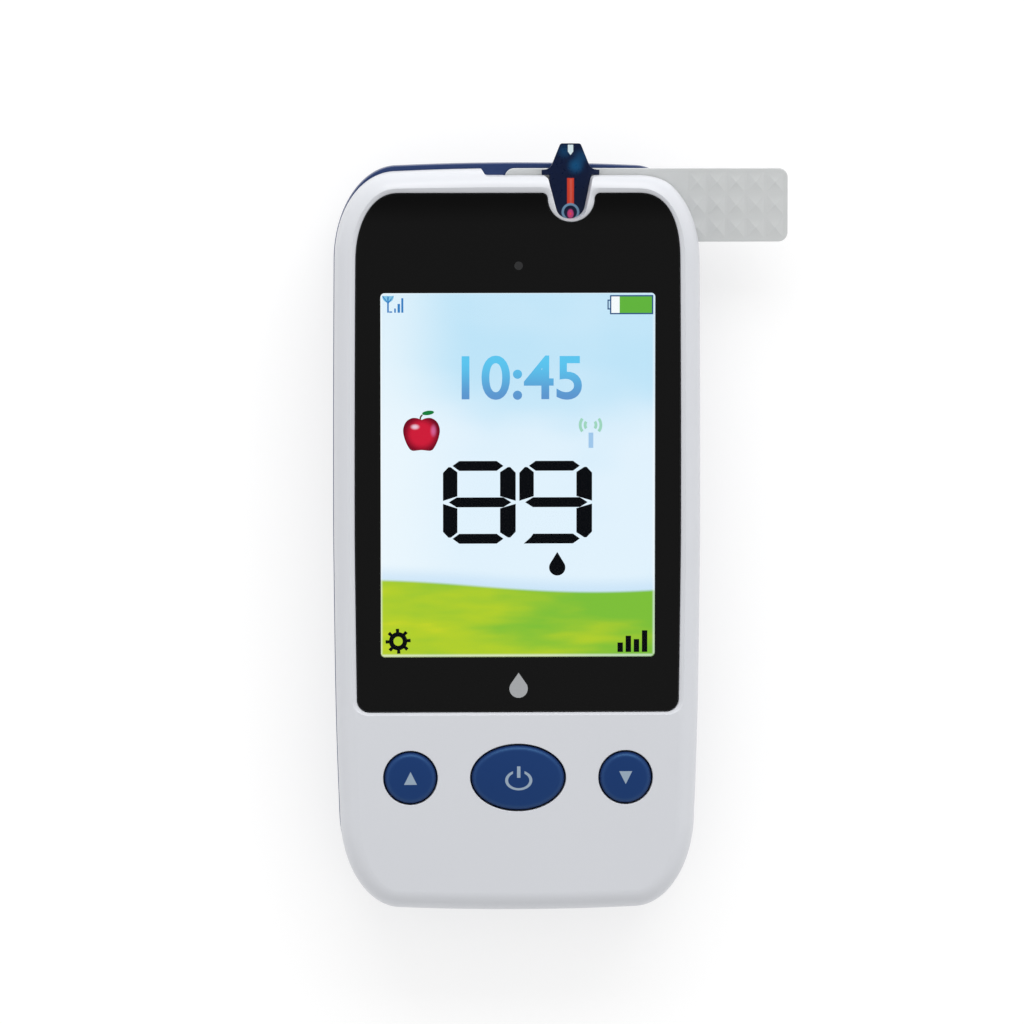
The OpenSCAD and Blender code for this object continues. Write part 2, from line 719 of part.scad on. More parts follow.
module pull_tab()
  color("gainsboro") {
    translate([tab_x, tab_y]) plate(tab_l, tab_w, 1.4, tab_z, tab_z + tab_t);
    // raised points that give the fingers hold
    for (i = [0:bump_columns - 1]) for (j = [0:bump_rows - 1])
      translate([tab_x + tab_l / 2 - 1.9 - bump_pitch_x * i,
                 tab_y + bump_pitch_y * (j - (bump_rows - 1) / 2), tab_z + tab_t])
        scale([bump_pitch_x, bump_pitch_y, 1]) rotate(45)
          cylinder(r1 = 0.62, r2 = 0.05, h = bump_h, $fn = 4);
  }

module backup_cell()
  color("silver") translate([cell_x, cell_y, cell_z]) {
    cylinder(r = cell_r, h = cell_t - 0.3);
    cylinder(r = cell_r - 0.7, h = cell_t);
  }

// Sprung leaf that the pull tab keeps off the backup cell
module cell_contact() {
  low = tab_z + tab_t + slip;
  color("gold") rotate([90, 0, 90]) translate([0, 0, cell_x + 3]) linear_extrude(2)
    polygon([[cell_y - 5.5, board_z - 0.3], [cell_y - 3.5, board_z - 0.3], [cell_y - 0.9, low],
             [cell_y + 0.2, low], [cell_y + 0.2, low + 0.2], [cell_y - 0.8, low + 0.2],
             [cell_y - 3.4, board_z], [cell_y - 5.5, board_z]]);
}

module battery_contacts()
  color("gold") {
    box([-contact_w / 2, bay_top_y + bay_wall + 0.1, blade_low_z - 0.6],
        [contact_w / 2, bay_top_y + bay_wall + 0.1 + contact_l, board_z]);
    for (i = [-1:1]) translate([blade_pitch * i, 0, 0])
      box([-blade_w / 2, bay_top_y - clear + slip, blade_low_z],
          [blade_w / 2, bay_top_y + bay_wall + contact_l / 2, blade_high_z]);
  }

// A can of thin sheet with rows of holes in its top
module modem_shield() {
  sheet = 0.3;
  pitch = 3.5;
  color("silver") translate(modem_place) difference() {
    plate(modem_size.x, modem_size.y, 0.8, board_z - modem_size.z, board_z);
    plate(modem_size.x - 2 * sheet, modem_size.y - 2 * sheet, 0.6,
          board_z - modem_size.z + sheet, board_z + over);
    for (x = [-2:2]) for (y = [-1:1])
      translate([pitch * x, pitch * y, board_z - modem_size.z - over]) cylinder(r = 0.5, h = 2);
  }
}

module sim_holder()
  color("silver") translate(sim_place) difference() {
    plate(sim_size.x + 2, sim_size.y + 2.4, 0.5, board_z - holder_t, board_z);
    box([-sim_size.x / 2 - 0.1, -sim_size.y, board_z - holder_t + 0.25],
        [sim_size.x / 2 + 0.1, sim_size.y / 2 + 0.1, board_z - 0.35]);
    plate(sim_size.x - 4, sim_size.y - 4, 1, board_z - holder_t - over, board_z - holder_t + over);
  }

module sim_card()
  color("white") translate([sim_place.x, sim_place.y, board_z - holder_t + 0.3])
    linear_extrude(sim_size.z) difference() {
      rounded(sim_size.x, sim_size.y, 0.8);
      translate([sim_size.x, sim_size.y] / 2) rotate(45) square(0.2 * sim_size.x, center = true);
    }

module processor()
  color("black") translate(processor_place)
    plate(processor_size.x, processor_size.y, 0.3, board_z - processor_size.z, board_z);

module buzzer()
  color("black") translate([buzzer_place.x, buzzer_place.y, board_z - buzzer_t]) difference() {
    cylinder(r = buzzer_r, h = buzzer_t);
    translate([0, 0, -over]) cylinder(r = 0.8, h = 1.5 + over);
  }

module antenna()
  color("goldenrod") translate(antenna_place)
    plate(antenna_size.x, antenna_size.y, 0.3, board_z - antenna_size.z, board_z);

module usb_socket()
  color("silver") difference() {
    box([-usb_w / 2, usb_y, board_z - usb_t], [usb_w / 2, usb_y + usb_l, board_z]);
    difference() {
      box([-usb_w / 2 + 0.4, usb_y - over, board_z - usb_t + 0.4],
          [usb_w / 2 - 0.4, usb_y + usb_l - 0.6, board_z - 0.4]);
      box([-usb_w / 2 + 1.2, usb_y + 0.8, board_z - usb_t / 2 - 0.3],
          [usb_w / 2 - 1.2, usb_y + usb_l, board_z - usb_t / 2 + 0.3]);
    }
  }

module light_sensor()
  color("black") box([sensor_x - 0.8, sensor_y - 0.8, board_top_z],
                     [sensor_x + 0.8, sensor_y + 0.8, board_top_z + sensor_t]);

module light_pipe()
  color("lightgray") translate([sensor_x, sensor_y]) {
    translate([0, 0, board_top_z + sensor_t + slip])
      cylinder(r = pipe_r, h = lens_z - slip - board_top_z - sensor_t - slip);
    translate([0, 0, ledge_z - slip - pipe_flange_t]) cylinder(r = pipe_r + 0.5, h = pipe_flange_t);
  }

// A screw with its head down: head, shank and a cross in the head
module screw(head_r, head_t, shank_r, length) difference() {
  union() {
    translate([0, 0, -head_t]) cylinder(r = head_r, h = head_t);
    cylinder(r = shank_r, h = length);
  }
  for (a = [0, 90]) rotate(a)
    box([-0.65 * head_r, -0.15 * head_r, -head_t - over],
        [0.65 * head_r, 0.15 * head_r, -0.5 * head_t]);
}

module case_screws()
  color("gray") for (p = screw_places) translate([p.x, p.y, screw_sink])
    screw(screw_head_d / 2, 1.4, screw_d / 2, joint_z + pilot_l - 0.5 - screw_sink);

module board_screws()
  color("gray") for (x = [-1, 1]) translate([x * board_screw_x, board_screw_y, board_z])
    screw(2 * board_screw_r, 0.9, board_screw_r, board_t + board_screw_l - 0.3);

front_shell();
back_shell();
battery_door();
battery_pack();
display_lens();
lens_gasket();
display_frame();
display_panel();
display_flex();
up_button();
power_button();
down_button();
up_dome();
power_dome();
down_dome();
main_board();
strip_connector();
strip_contacts();
test_strip();
pull_tab();
backup_cell();
cell_contact();
battery_contacts();
modem_shield();
sim_holder();
sim_card();
processor();
buzzer();
antenna();
usb_socket();
light_sensor();
light_pipe();
case_screws();
board_screws();
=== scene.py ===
# %% [markdown]
# # A blood glucose meter
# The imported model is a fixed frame: two case halves, keys, display, test strip, pull tab and
# what is inside. This lesson dresses it. Each step says what a piece is on the real meter, how
# it could be made in Blender, and why it is made the way it is.

# %% Load the frame
from math import acos, atan2, copysign, cos, degrees, hypot, pi, radians, sin, sqrt

import bpy
from mathutils import Matrix, Vector


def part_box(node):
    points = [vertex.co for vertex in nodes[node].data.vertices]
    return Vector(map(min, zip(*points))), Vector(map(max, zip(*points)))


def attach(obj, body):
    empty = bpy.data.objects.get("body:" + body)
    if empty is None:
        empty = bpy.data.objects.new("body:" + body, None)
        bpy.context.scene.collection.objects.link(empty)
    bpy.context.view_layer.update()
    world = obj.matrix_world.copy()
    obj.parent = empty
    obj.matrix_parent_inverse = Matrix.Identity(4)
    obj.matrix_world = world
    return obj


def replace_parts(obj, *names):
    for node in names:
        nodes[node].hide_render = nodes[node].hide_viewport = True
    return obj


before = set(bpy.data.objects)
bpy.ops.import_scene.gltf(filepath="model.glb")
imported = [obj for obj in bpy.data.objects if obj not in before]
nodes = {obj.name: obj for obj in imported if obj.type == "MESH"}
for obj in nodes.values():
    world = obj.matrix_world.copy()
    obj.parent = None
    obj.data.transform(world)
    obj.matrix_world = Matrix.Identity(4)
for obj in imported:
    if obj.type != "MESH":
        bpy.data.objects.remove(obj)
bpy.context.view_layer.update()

scene = bpy.context.scene

# %% [markdown]
# ## Sizes
# Every length below is in millimetres, and the mesh helpers turn it into metres at the very
# end. What the frame can tell is measured from it. The rest are the few radii and bows that
# shape the case, the same on every ring of its surface.

# %% Sizes that the frame gives
MM = 0.001


def size_of(node):
    """Lowest and highest corner of a CAD node, in millimetres."""
    low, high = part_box(node)
    return low / MM, high / MM


back_high = size_of("back_shell")[1]
front_low, front_high = size_of("front_shell")
lens_low, lens_high = size_of("display_lens")
panel_low, panel_high = size_of("display_panel")
strip_low, strip_high = size_of("test_strip")
tab_low, tab_high = size_of("pull_tab")
door_low, door_high = size_of("battery_door")
half_w, half_l = back_high.x, back_high.y
joint_z, case_h = front_low.z, front_high.z
print(f"case {2 * half_w:.1f} x {2 * half_l:.1f} x {case_h:.1f} mm, halves meet at {joint_z:.1f}")

# %% Radii and bows of the case
reveal = 0.08  # the front half stands back this far from the back half
strip_end_reveal = 0.7  # the same at the strip end
wall = 1.8
side_bow = 0.3
side_taper = 0.5  # each side comes in by this at the key end
low_pull, low_pull_from = 0.25, 20  # and by this more near the low corners
end_bow = 0.4
top_corner_w, top_corner_l = 9.4, 14.0
low_corner_w, low_corner_l = 9.0, 14.1
case_power, lens_power, lens_power_left = 2.1, 2.45, 2.17  # top corners; 2 is an ellipse
front_round_w, front_round_h = 3.0, 3.6
back_round_w, back_round_h = 4.3, 4.6
top_cy = half_l - end_bow - top_corner_l
low_cy = -(half_l - end_bow - low_corner_l)


def edge_x(y):
    """Half the width of the case at a distance y from its middle."""
    pulled = low_pull * (max(-y - low_pull_from, 0) / low_pull_from) ** 2
    return half_w - side_bow * (y / half_l) ** 2 - side_taper * max(-y, 0) / half_l - pulled


top_cx = edge_x(top_cy) - top_corner_w
low_cx = edge_x(low_cy) - low_corner_w
print(f"width {2 * edge_x(0):.2f} mm at the middle, {2 * edge_x(low_cy):.2f} mm near the keys")

# %% [markdown]
# ## Outlines
# A moulded case is a stack of outlines, each a little smaller than the one below it. Drawing
# them with a formula keeps the corners true ellipses and lets the same shape be asked for
# again, grown or shrunk, for a recess, a lens or a gasket that has to fit it.

# %% Arcs, sides and ends
CORNER_STEPS = 28
SIDE_STEPS = 24
END_STEPS = 12


def arc(centre, radii, start, sweep, steps):
    """Points on an ellipse, from the angle start through sweep degrees."""
    turns = [radians(start + sweep * i / steps) for i in range(steps + 1)]
    return [(centre[0] + radii[0] * cos(t), centre[1] + radii[1] * sin(t)) for t in turns]


def corner(centre, radii, start, power=2.0):
    """A quarter of an ellipse, or of a squarer curve where the power is above 2."""

    def squarer(share):
        return copysign(abs(share) ** (2 / power), share)

    turns = [radians(start + 90 * i / CORNER_STEPS) for i in range(CORNER_STEPS + 1)]
    return [(centre[0] + radii[0] * squarer(cos(t)), centre[1] + radii[1] * squarer(sin(t)))
            for t in turns]


def side(start, stop, inset, sign):
    """Points along a long side, without its two ends."""
    steps = [start + (stop - start) * i / SIDE_STEPS for i in range(1, SIDE_STEPS)]
    return [(sign * (edge_x(y) - inset), y) for y in steps]


def end(cx, inset, sign):
    """Points along a bowed end, without its two ends."""
    steps = [sign * cx * (1 - 2 * i / END_STEPS) for i in range(1, END_STEPS)]
    return [(x, sign * (half_l - end_bow * (x / cx) ** 2 - inset)) for x in steps]


# %% Outline of the case
def case_outline(inset, end_shift=0.0):
    """The case seen from the front, moved in by inset, and by end_shift more at the strip end."""
    top = (top_corner_w - inset, top_corner_l - inset - end_shift)
    low = (low_corner_w - inset, low_corner_l - inset)
    power = case_power if end_shift else 2
    return (
        side(low_cy, top_cy, inset, 1)
        + corner((top_cx, top_cy), top, 0, power)
        + end(top_cx, inset + end_shift, 1)
        + corner((-top_cx, top_cy), top, 90, power)
        + side(top_cy, low_cy, inset, -1)
        + corner((-low_cx, low_cy), low, 180)
        + end(low_cx, inset, -1)
        + corner((low_cx, low_cy), low, 270)
    )


print(f"{len(case_outline(0))} points round the case")

# %% Values of the lens and the strip port
lens_rim = 3.15
lens_top_rim = half_l - end_bow - lens_high.y
lens_corner = 1.8
lens_gap = 0.1
lens_slope = 0.75
port_x = (strip_low.x + strip_high.x) / 2
port_mid = port_x - 0.15  # the port sits a little to the left of its strip
port_lip_r = 3.5
port_lip_drop = 0.75
port_fillet = 0.8
port_lip_y = lens_high.y - port_lip_drop
port_end_r = 2.3
port_end_y = port_lip_y - 0.9
port_mouth = 3.3
port_mouth_r = 0.6
port_mouth_in = 0.25  # the right side of the mouth stands in by this
step_depth = 1.7
step_y = half_l - step_depth
step_x = -4.6
print(f"the port is {port_x:.2f} mm to the right of the middle")


# %% Outline of the lens
def lip_outline(grow):
    """The lip that the port makes in the lens, from right to left, with its two fillets."""
    rise = port_lip_drop - port_fillet
    run = sqrt((port_lip_r + port_fillet) ** 2 - rise**2)
    fillet = (port_fillet + grow,) * 2
    last = degrees(atan2(-rise, -run)) % 360
    first = degrees(atan2(rise, run))
    fillet_y = lens_high.y - port_fillet
    right = arc((port_mid + run, fillet_y), fillet, 90, last - 90, 8)
    left = [(2 * port_mid - x, y) for x, y in reversed(right)]
    lip = arc((port_mid, port_lip_y), (port_lip_r - grow,) * 2, first, -180 - 2 * first, 40)
    return right + lip[1:-1] + left


def lens_outline(grow):
    """The lens with the port's notch in it, moved out by grow."""
    y0 = lens_low.y + lens_corner
    x0 = edge_x(y0) - lens_rim - lens_corner
    round_end = (lens_corner + grow,) * 2
    rim = lens_rim - grow
    top = (top_corner_w - rim, top_corner_l - lens_top_rim + grow)
    return (
        side(y0, top_cy, rim, 1)
        + corner((top_cx, top_cy), top, 0, lens_power)
        + lip_outline(grow)
        + corner((-top_cx, top_cy), top, 90, lens_power_left)
        + side(top_cy, y0, rim, -1)
        + arc((-x0, y0), round_end, 180, 90, 12)
        + arc((x0, y0), round_end, 270, 90, 12)
    )


print(f"{len(lens_outline(0))} points round the lens")


# %% Outline of the port, ovals and rectangles
def port_bowl(grow):
    """The round end of the port's channel, moved out by grow."""
    rise = step_y - port_mouth_r - port_end_y
    angle = degrees(atan2(rise, port_mouth))
    touch = angle - degrees(acos(port_end_r / hypot(port_mouth, rise)))
    radii = (port_end_r + grow,) * 2
    return arc((port_mid, port_end_y), radii, 180 - touch, 180 + 2 * touch, 32)


def port_outline(grow):
    """The port's channel: a round end that opens outwards past two round corners."""
    wide, corner_y = port_mouth + port_mouth_r, step_y - port_mouth_r
    bend = (port_mouth_r - grow,) * 2
    right = arc((port_mid + wide - port_mouth_in, corner_y), bend, 180, -90, 8)
    left = arc((port_mid - wide, corner_y), bend, 90, -90, 8)
    far = [(port_mid + wide, half_l + 2), (port_mid - wide, half_l + 2)]
    return port_bowl(grow) + right + far + left


def oval(centre, width, length, steps=96):
    """A closed ellipse."""
    return arc(centre, (width / 2, length / 2), 0, 360, steps)[:-1]


def rounded(centre, width, length, radius, steps=8):
    """A closed rectangle with round corners."""
    cx, cy = centre
    x, y = width / 2 - radius, length / 2 - radius
    corners = [(cx + x, cy + y), (cx - x, cy + y), (cx - x, cy - y), (cx + x, cy - y)]
    return [p for i, c in enumerate(corners) for p in arc(c, (radius, radius), 90 * i, 90, steps)]


print(f"{len(port_outline(0))} points round the port")

# %% [markdown]
# ## From outlines to solids
# Two makers cover nearly every piece: a skin through a stack of outlines, and a profile turned
# about an axis. Booleans then cut the openings. A cutter that widens like a trumpet near the
# surface leaves a rounded lip, which catches the light as a moulded edge does, where a straight
# cutter would leave a knife edge. Weighted normals keep big flat faces flat in between.


# %% Solids from points
def add_object(name, data):
    """An object in the scene that shows a mesh, a text, a lamp or a camera."""
    made = bpy.data.objects.new(name, data)
    scene.collection.objects.link(made)
    return made


def solid(name, points, faces, body=None):
    """A mesh object from points in millimetres."""
    mesh = bpy.data.meshes.new(name)
    mesh.from_pydata([(x * MM, y * MM, z * MM) for x, y, z in points], [], faces)
    made = add_object(name, mesh)
    if body:
        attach(made, body)
    return made


def stacked(outlines, heights, base=0):
    """Points and faces of a closed stack of outlines, with the first point's number as base."""
    n = len(outlines[0])
    last = base + (len(outlines) - 1) * n
    points = [(x, y, z) for outline, z in zip(outlines, heights) for x, y in outline]
    walls = [
        (low + i, low + (i + 1) % n, low + n + (i + 1) % n, low + n + i)
        for low in range(base, last, n)
        for i in range(n)
    ]
    caps = [tuple(reversed(range(base, base + n))), tuple(range(last, last + n))]
    return points, walls + caps


def skin(name, outlines, heights, body=None):
    """A closed solid through a stack of outlines with equal numbers of points."""
    return solid(name, *stacked(outlines, heights), body)


def prism(name, outline, low, high, body=None):
    """A solid with straight walls from the height low to the height high."""
    return skin(name, [outline, outline], [low, high], body)


# %% Boxes and turned solids
def box(name, low, high):
    """A plain box, mostly used for cuts."""
    outline = [(low[0], low[1]), (high[0], low[1]), (high[0], high[1]), (low[0], high[1])]
    return prism(name, outline, low[2], high[2])


def turned(name, centre, profile, steps=96, body=None):
    """A profile of (radius, height) from axis to axis, turned about a vertical axis."""
    inner = profile[1:-1]
    points = [(centre[0], centre[1], z) for _, z in (profile[0], profile[-1])]
    for r, z in inner:
        points += [(x, y, z) for x, y in oval(centre, 2 * r, 2 * r, steps)]
    rings = [[2 + j * steps + i for i in range(steps)] for j in range(len(inner))]
    faces = [(0, rings[0][(i + 1) % steps], rings[0][i]) for i in range(steps)]
    faces += [(1, rings[-1][i], rings[-1][(i + 1) % steps]) for i in range(steps)]
    for low, high in zip(rings, rings[1:]):
        faces += [
            (low[i], low[(i + 1) % steps], high[(i + 1) % steps], high[i]) for i in range(steps)
        ]
    return solid(name, points, faces, body)


# %% Cuts and joins
def settle(piece):
    """Replaces a piece's mesh by what its modifiers make of it, and removes them."""
    graph = bpy.context.evaluated_depsgraph_get()
    mesh = bpy.data.meshes.new_from_object(piece.evaluated_get(graph))
    piece.modifiers.clear()
    old = piece.data
    piece.data = mesh
    bpy.data.meshes.remove(old)
    return piece


def combine(piece, operation, others):
    """Cuts the other solids out of a piece, or joins them to it, and deletes them."""
    for other in others:
        step = piece.modifiers.new("combine", "BOOLEAN")
        step.operation = operation
        step.solver = "MANIFOLD"
        step.object = other
    settle(piece)
    for other in others:
        bpy.data.objects.remove(other)
    return piece


def cut(piece, *cutters):
    """Takes solids out of a piece."""
    return combine(piece, "DIFFERENCE", cutters)


def join(piece, *others):
    """Makes one solid of several."""
    return combine(piece, "UNION", others)


def common(piece, *others):
    """Keeps what a piece shares with others."""
    return combine(piece, "INTERSECT", others)


def smooth(piece, angle=32):
    """Smooth shading that breaks at edges sharper than the angle and keeps flat faces flat."""
    piece.data.shade_smooth()
    piece.data.set_sharp_from_angle(angle=radians(angle))
    weighted = piece.modifiers.new("weighted", "WEIGHTED_NORMAL")
    weighted.keep_sharp = True
    return settle(piece)


# %% [markdown]
# ## Front half of the case
# On the real meter this is one white moulding: it carries the lens in a recess with a sloping
# rim, wraps a small U round the strip port, steps back along its top edge where the pull tab
# lies, and has three key holes. Box modelling could give the form, but the rim has to stay
# parallel to the case at every corner. So the case is a skin over case_outline, and the same
# outlines, grown, make the cutters.


# %% Cutters with rounded lips
LIP = 0.28  # radius of the edge that a flared cutter leaves


def quarter(steps):
    """Angles of a quarter turn, in radians."""
    return [pi / 2 * i / steps for i in range(steps + 1)]


def flare(grown, top, low=None, lip=LIP, steps=5):
    """Outlines and heights of a cutter that widens by lip as it nears the surface at top."""
    turns = quarter(steps)
    outlines = [grown(0)] + [grown(lip * (1 - cos(t))) for t in turns] + [grown(lip)]
    start = top - lip
    heights = [low if low is not None else start - 4]
    heights += [start + lip * sin(t) for t in turns] + [top + 3]
    return outlines, heights


def widened(centre, width, length):
    """An oval that can grow, for flare."""
    return lambda grow: oval(centre, width + 2 * grow, length + 2 * grow)


print(f"lips of {LIP} mm")

# %% Places of the screws, keys and socket
screw_x = half_w - 5.75
screw_low_y = 11.6 - half_l
slot_low_y = tab_low.y - 0.15
boss_r = 2.2
screw_top_y = slot_low_y - 0.3 - boss_r
screw_places = [(x, y) for x in (-screw_x, screw_x) for y in (screw_low_y, screw_top_y)]
key_gap = 0.22
key_boxes = {name: size_of(name) for name in ("up_button", "power_button", "down_button")}
key_flange = 0.8  # the part of a key under the case is this much wider than its cap
usb_low, usb_high = size_of("usb_socket")


def middle(low, high):
    """The middle of a box, seen from the front."""
    return ((low.x + high.x) / 2, (low.y + high.y) / 2)


print(f"{len(screw_places)} screws, {len(key_boxes)} keys")


# %% Holes for the keys and the plug
def key_hole(name):
    """A cutter round one key."""
    low, high = key_boxes[name]
    spare = 2 * (key_gap - key_flange)
    hole = widened(middle(low, high), high.x - low.x + spare, high.y - low.y + spare)
    return skin("hole", *flare(hole, case_h, lip=0.12))


def usb_opening():
    """A cutter for the charging plug, with round corners, through both halves."""
    width = usb_high.x - usb_low.x + 1
    low, high = usb_low.z - 0.4, usb_high.z + 0.2
    outline = rounded((0, (low + high) / 2), width, high - low, 1.2)
    opening = prism("opening", outline, half_l - 2 * wall, half_l + 1)
    for vertex in opening.data.vertices:
        x, z, y = vertex.co
        vertex.co = (x, -y, z)
    return opening


# %% Lens recess and step
def slope_outline(share):
    """The lens recess at a share of its slope, which is narrower at the low end."""
    grow = lens_gap + lens_slope * share
    low = lens_low.y + lens_corner
    kept = (lens_corner + lens_gap + lens_slope * share * 0.35) / (lens_corner + grow)
    return [(x, max(y, low) - max(low - y, 0) * kept) for x, y in lens_outline(grow)]


def step():
    """A cutter for the step along the top edge, where the tab and the strip come out."""

    def line(grow):
        top = (top_corner_w, step_y - top_cy)
        bend = corner((top_cx, top_cy), top, 0, lens_power)
        edge = [(step_x - 0.7 - grow, half_l + 2), (step_x - 0.7 - grow, half_l - 0.4)]
        edge += [(step_x - 0.6 - grow, half_l - 0.75), (step_x - 0.2 - grow, step_y + 0.3)]
        edge += [(step_x - grow, step_y + 0.08), (step_x + 0.25 - grow / 2, step_y - grow)]
        bottom = [(x, y - grow) for x, y in reversed(bend)]
        return edge + bottom + [(half_w + 2, top_cy - grow), (half_w + 2, half_l + 2)]

    grows = [0, 0, 0.02, 0.08, 0.2, 0.6]
    heights = [joint_z - 1, case_h - 0.85, case_h - 0.65, case_h - 0.5, case_h - 0.4, case_h + 1]
    return skin("step", [line(g) for g in grows], heights)


def front_cutters():
    """All that is taken out of the front half of the case."""
    rises = ((0, 0.2), (0.12, 0.34), (0.45, 0.52), (0.85, 0.68), (1.15, 0.77))
    slope = [(0, lens_low.z)] + [(share, lens_high.z + rise) for share, rise in rises]
    slope += [(1.4, case_h + 0.02), (1.4, case_h + 2)]
    recess = skin("recess", [slope_outline(share) for share, _ in slope], [z for _, z in slope])
    low, high = size_of("display_frame")
    frame_room = rounded(middle(low, high), high.x - low.x + 0.4, high.y - low.y + 0.4, 1)
    window = prism("window", frame_room, lens_low.z - 3, lens_low.z + 0.1)
    channel = skin("channel", *flare(port_outline, case_h, low=joint_z - 1))
    strip_slot = box("strip_slot", (strip_low.x + 1, port_end_y - 5, strip_low.z - 0.15),
                     (strip_high.x - 1, half_l + 1, strip_high.z + 0.2))
    tab_slot = box("tab_slot", (tab_low.x - 0.2, slot_low_y, joint_z - 1),
                   (half_w + 1, half_l + 1, tab_high.z + 0.1))
    return [recess, window, channel, strip_slot, step(), tab_slot, usb_opening()] + [
        key_hole(name) for name in key_boxes
    ]


# %% [markdown]
# ## Finishes
# Moulded plastic is never one flat colour: the mould's texture breaks up the gloss, the skin
# is a touch uneven, and prints sit on it with a slightly different shine. Wiring such patterns
# by hand is slow to read, so a small class turns Python expressions into shader nodes. Only
# colour, roughness, metal, alpha, light and normals vary over a surface here. Everything else
# is a plain number on the shader.


# %% Shader maths as Python expressions
class Value:
    """A number, vector or colour in a finish. An expression on it adds Math nodes."""

    def __init__(self, finish, socket):
        self.finish = finish
        self.socket = socket

    def math(self, operation, *others):
        return self.finish.node("ShaderNodeMath", {"operation": operation}, self, *others)

    def __add__(self, other):
        return self.math("ADD", other)

    def __sub__(self, other):
        return self.math("SUBTRACT", other)

    def __mul__(self, other):
        return self.math("MULTIPLY", other)

    def __truediv__(self, other):
        return self.math("DIVIDE", other)

    def __rsub__(self, other):
        return self * -1 + other

    __radd__ = __add__
    __rmul__ = __mul__

    def size(self):
        return self.math("ABSOLUTE")

    def at_least(self, other):
        return self.math("MAXIMUM", other)

    def at_most(self, other):
        return self.math("MINIMUM", other)

    def root(self):
        return self.math("SQRT")

    def between(self, low, high):
        """0 below low and 1 above high, with a smooth rise between. Low may be the larger."""
        settings = {"interpolation_type": "SMOOTHSTEP"}
        return self.finish.node("ShaderNodeMapRange", settings, self, low, high)


# %% A material made of expressions
class Finish:
    """A material made of one Principled shader."""

    def __init__(self, name, colour, roughness, **plain):
        self.material = bpy.data.materials.new(name)
        self.material.use_nodes = True
        self.tree = self.material.node_tree
        self.shader = self.tree.nodes["Principled BSDF"]
        self.base = colour
        self.set(Base_Color=colour, Roughness=roughness, **plain)

    def set(self, **inputs):
        """Feeds sockets of the shader, with _ for a space in a name."""
        for name, value in inputs.items():
            self.feed(self.shader.inputs[name.replace("_", " ")], value)
        return self

    def feed(self, socket, value):
        if isinstance(value, Value):
            self.tree.links.new(value.socket, socket)
        elif socket.type == "RGBA":
            socket.default_value = (*value, 1)
        else:
            socket.default_value = value

    def node(self, kind, settings, *values, output=None):
        """One node: its type, its settings, then what goes into its sockets, in order."""
        node = self.tree.nodes.new(kind)
        for key, value in settings.items():
            setattr(node, key, value)
        for socket, value in zip([s for s in node.inputs if s.enabled], values):
            if value is not None:
                self.feed(socket, value)
        shown = [s for s in node.outputs if s.enabled]
        return Value(self, node.outputs[output] if output else shown[0])

    def place(self):
        """The x, y and z of a point on the piece, in millimetres."""
        coords = self.node("ShaderNodeTexCoord", {}, output="Object")
        in_mm = self.node("ShaderNodeVectorMath", {"operation": "SCALE"}, coords, 1 / MM)
        parts = self.node("ShaderNodeSeparateXYZ", {}, in_mm).socket.node.outputs
        return [Value(self, parts[axis]) for axis in "XYZ"]

    def noise(self, grain, detail=2.0, stretch=(1, 1, 1)):
        """Noise from 0 to 1 whose blobs are about grain millimetres across."""
        coords = self.node("ShaderNodeTexCoord", {}, output="Object")
        sized = tuple(1 / (grain * MM * s) for s in stretch)
        placed = self.node("ShaderNodeVectorMath", {"operation": "MULTIPLY"}, coords, sized)
        return self.node("ShaderNodeTexNoise", {}, placed, 1.0, detail)

    def blend(self, share, first, second):
        """Two colours mixed: the first at share 0 and the second at 1."""
        return self.node("ShaderNodeMix", {"data_type": "RGBA"}, share, first, second)

    def bump(self, height, depth):
        """Relief of depth millimetres from a height between 0 and 1."""
        return self.set(Normal=self.node("ShaderNodeBump", {}, 1.0, depth * MM, 1.0, height))


# %% Colours, and paint on a piece
def linear(red, green, blue):
    """A screen colour from 0 to 255 as the shader's linear numbers."""
    shares = (red / 255, green / 255, blue / 255)
    return tuple(c / 12.92 if c <= 0.04045 else ((c + 0.055) / 1.055) ** 2.4 for c in shares)


def scaled(colour, factor):
    """A colour made lighter or darker by a factor."""
    return tuple(c * factor for c in colour)


def paint(thing, finish):
    """Gives a piece or a CAD node its finish."""
    thing.data.materials.clear()
    thing.data.materials.append(finish.material)
    return thing


print("mid grey as linear light:", [round(c, 3) for c in linear(128, 128, 128)])


# %% Moulded plastics
def moulded(name, colour, roughness, grain=0.35, depth=0.004, uneven=0.03, **plain):
    """Plastic with the mould's fine texture and a slightly uneven skin."""
    finish = Finish(name, colour, roughness, **plain)
    cloud = finish.noise(14, 3.0)
    speck = finish.noise(grain, 3.0)
    light, dark = scaled(colour, 1 + uneven), scaled(colour, 1 - uneven)
    finish.base = finish.blend(cloud * 0.7 + speck * 0.3, dark, light)
    finish.set(
        Base_Color=finish.base,
        Roughness=(cloud - 0.5) * 0.10 + (speck - 0.5) * 0.12 + roughness,
    )
    return finish.bump(speck, depth)


WHITE = linear(206, 208, 213)
NAVY = linear(20, 46, 94)
BLUE = linear(26, 51, 102)
white_case = moulded("white_case", WHITE, 0.36, uneven=0.015)
navy_case = moulded("navy_case", NAVY, 0.42, grain=0.5, depth=0.008, uneven=0.08)
black_nylon = moulded("black_nylon", linear(22, 22, 24), 0.45, grain=0.3, uneven=0.2)
foam = moulded("foam", linear(30, 30, 31), 0.9, grain=0.25, depth=0.08, uneven=0.3)
print("moulded:", white_case.material.name, navy_case.material.name)

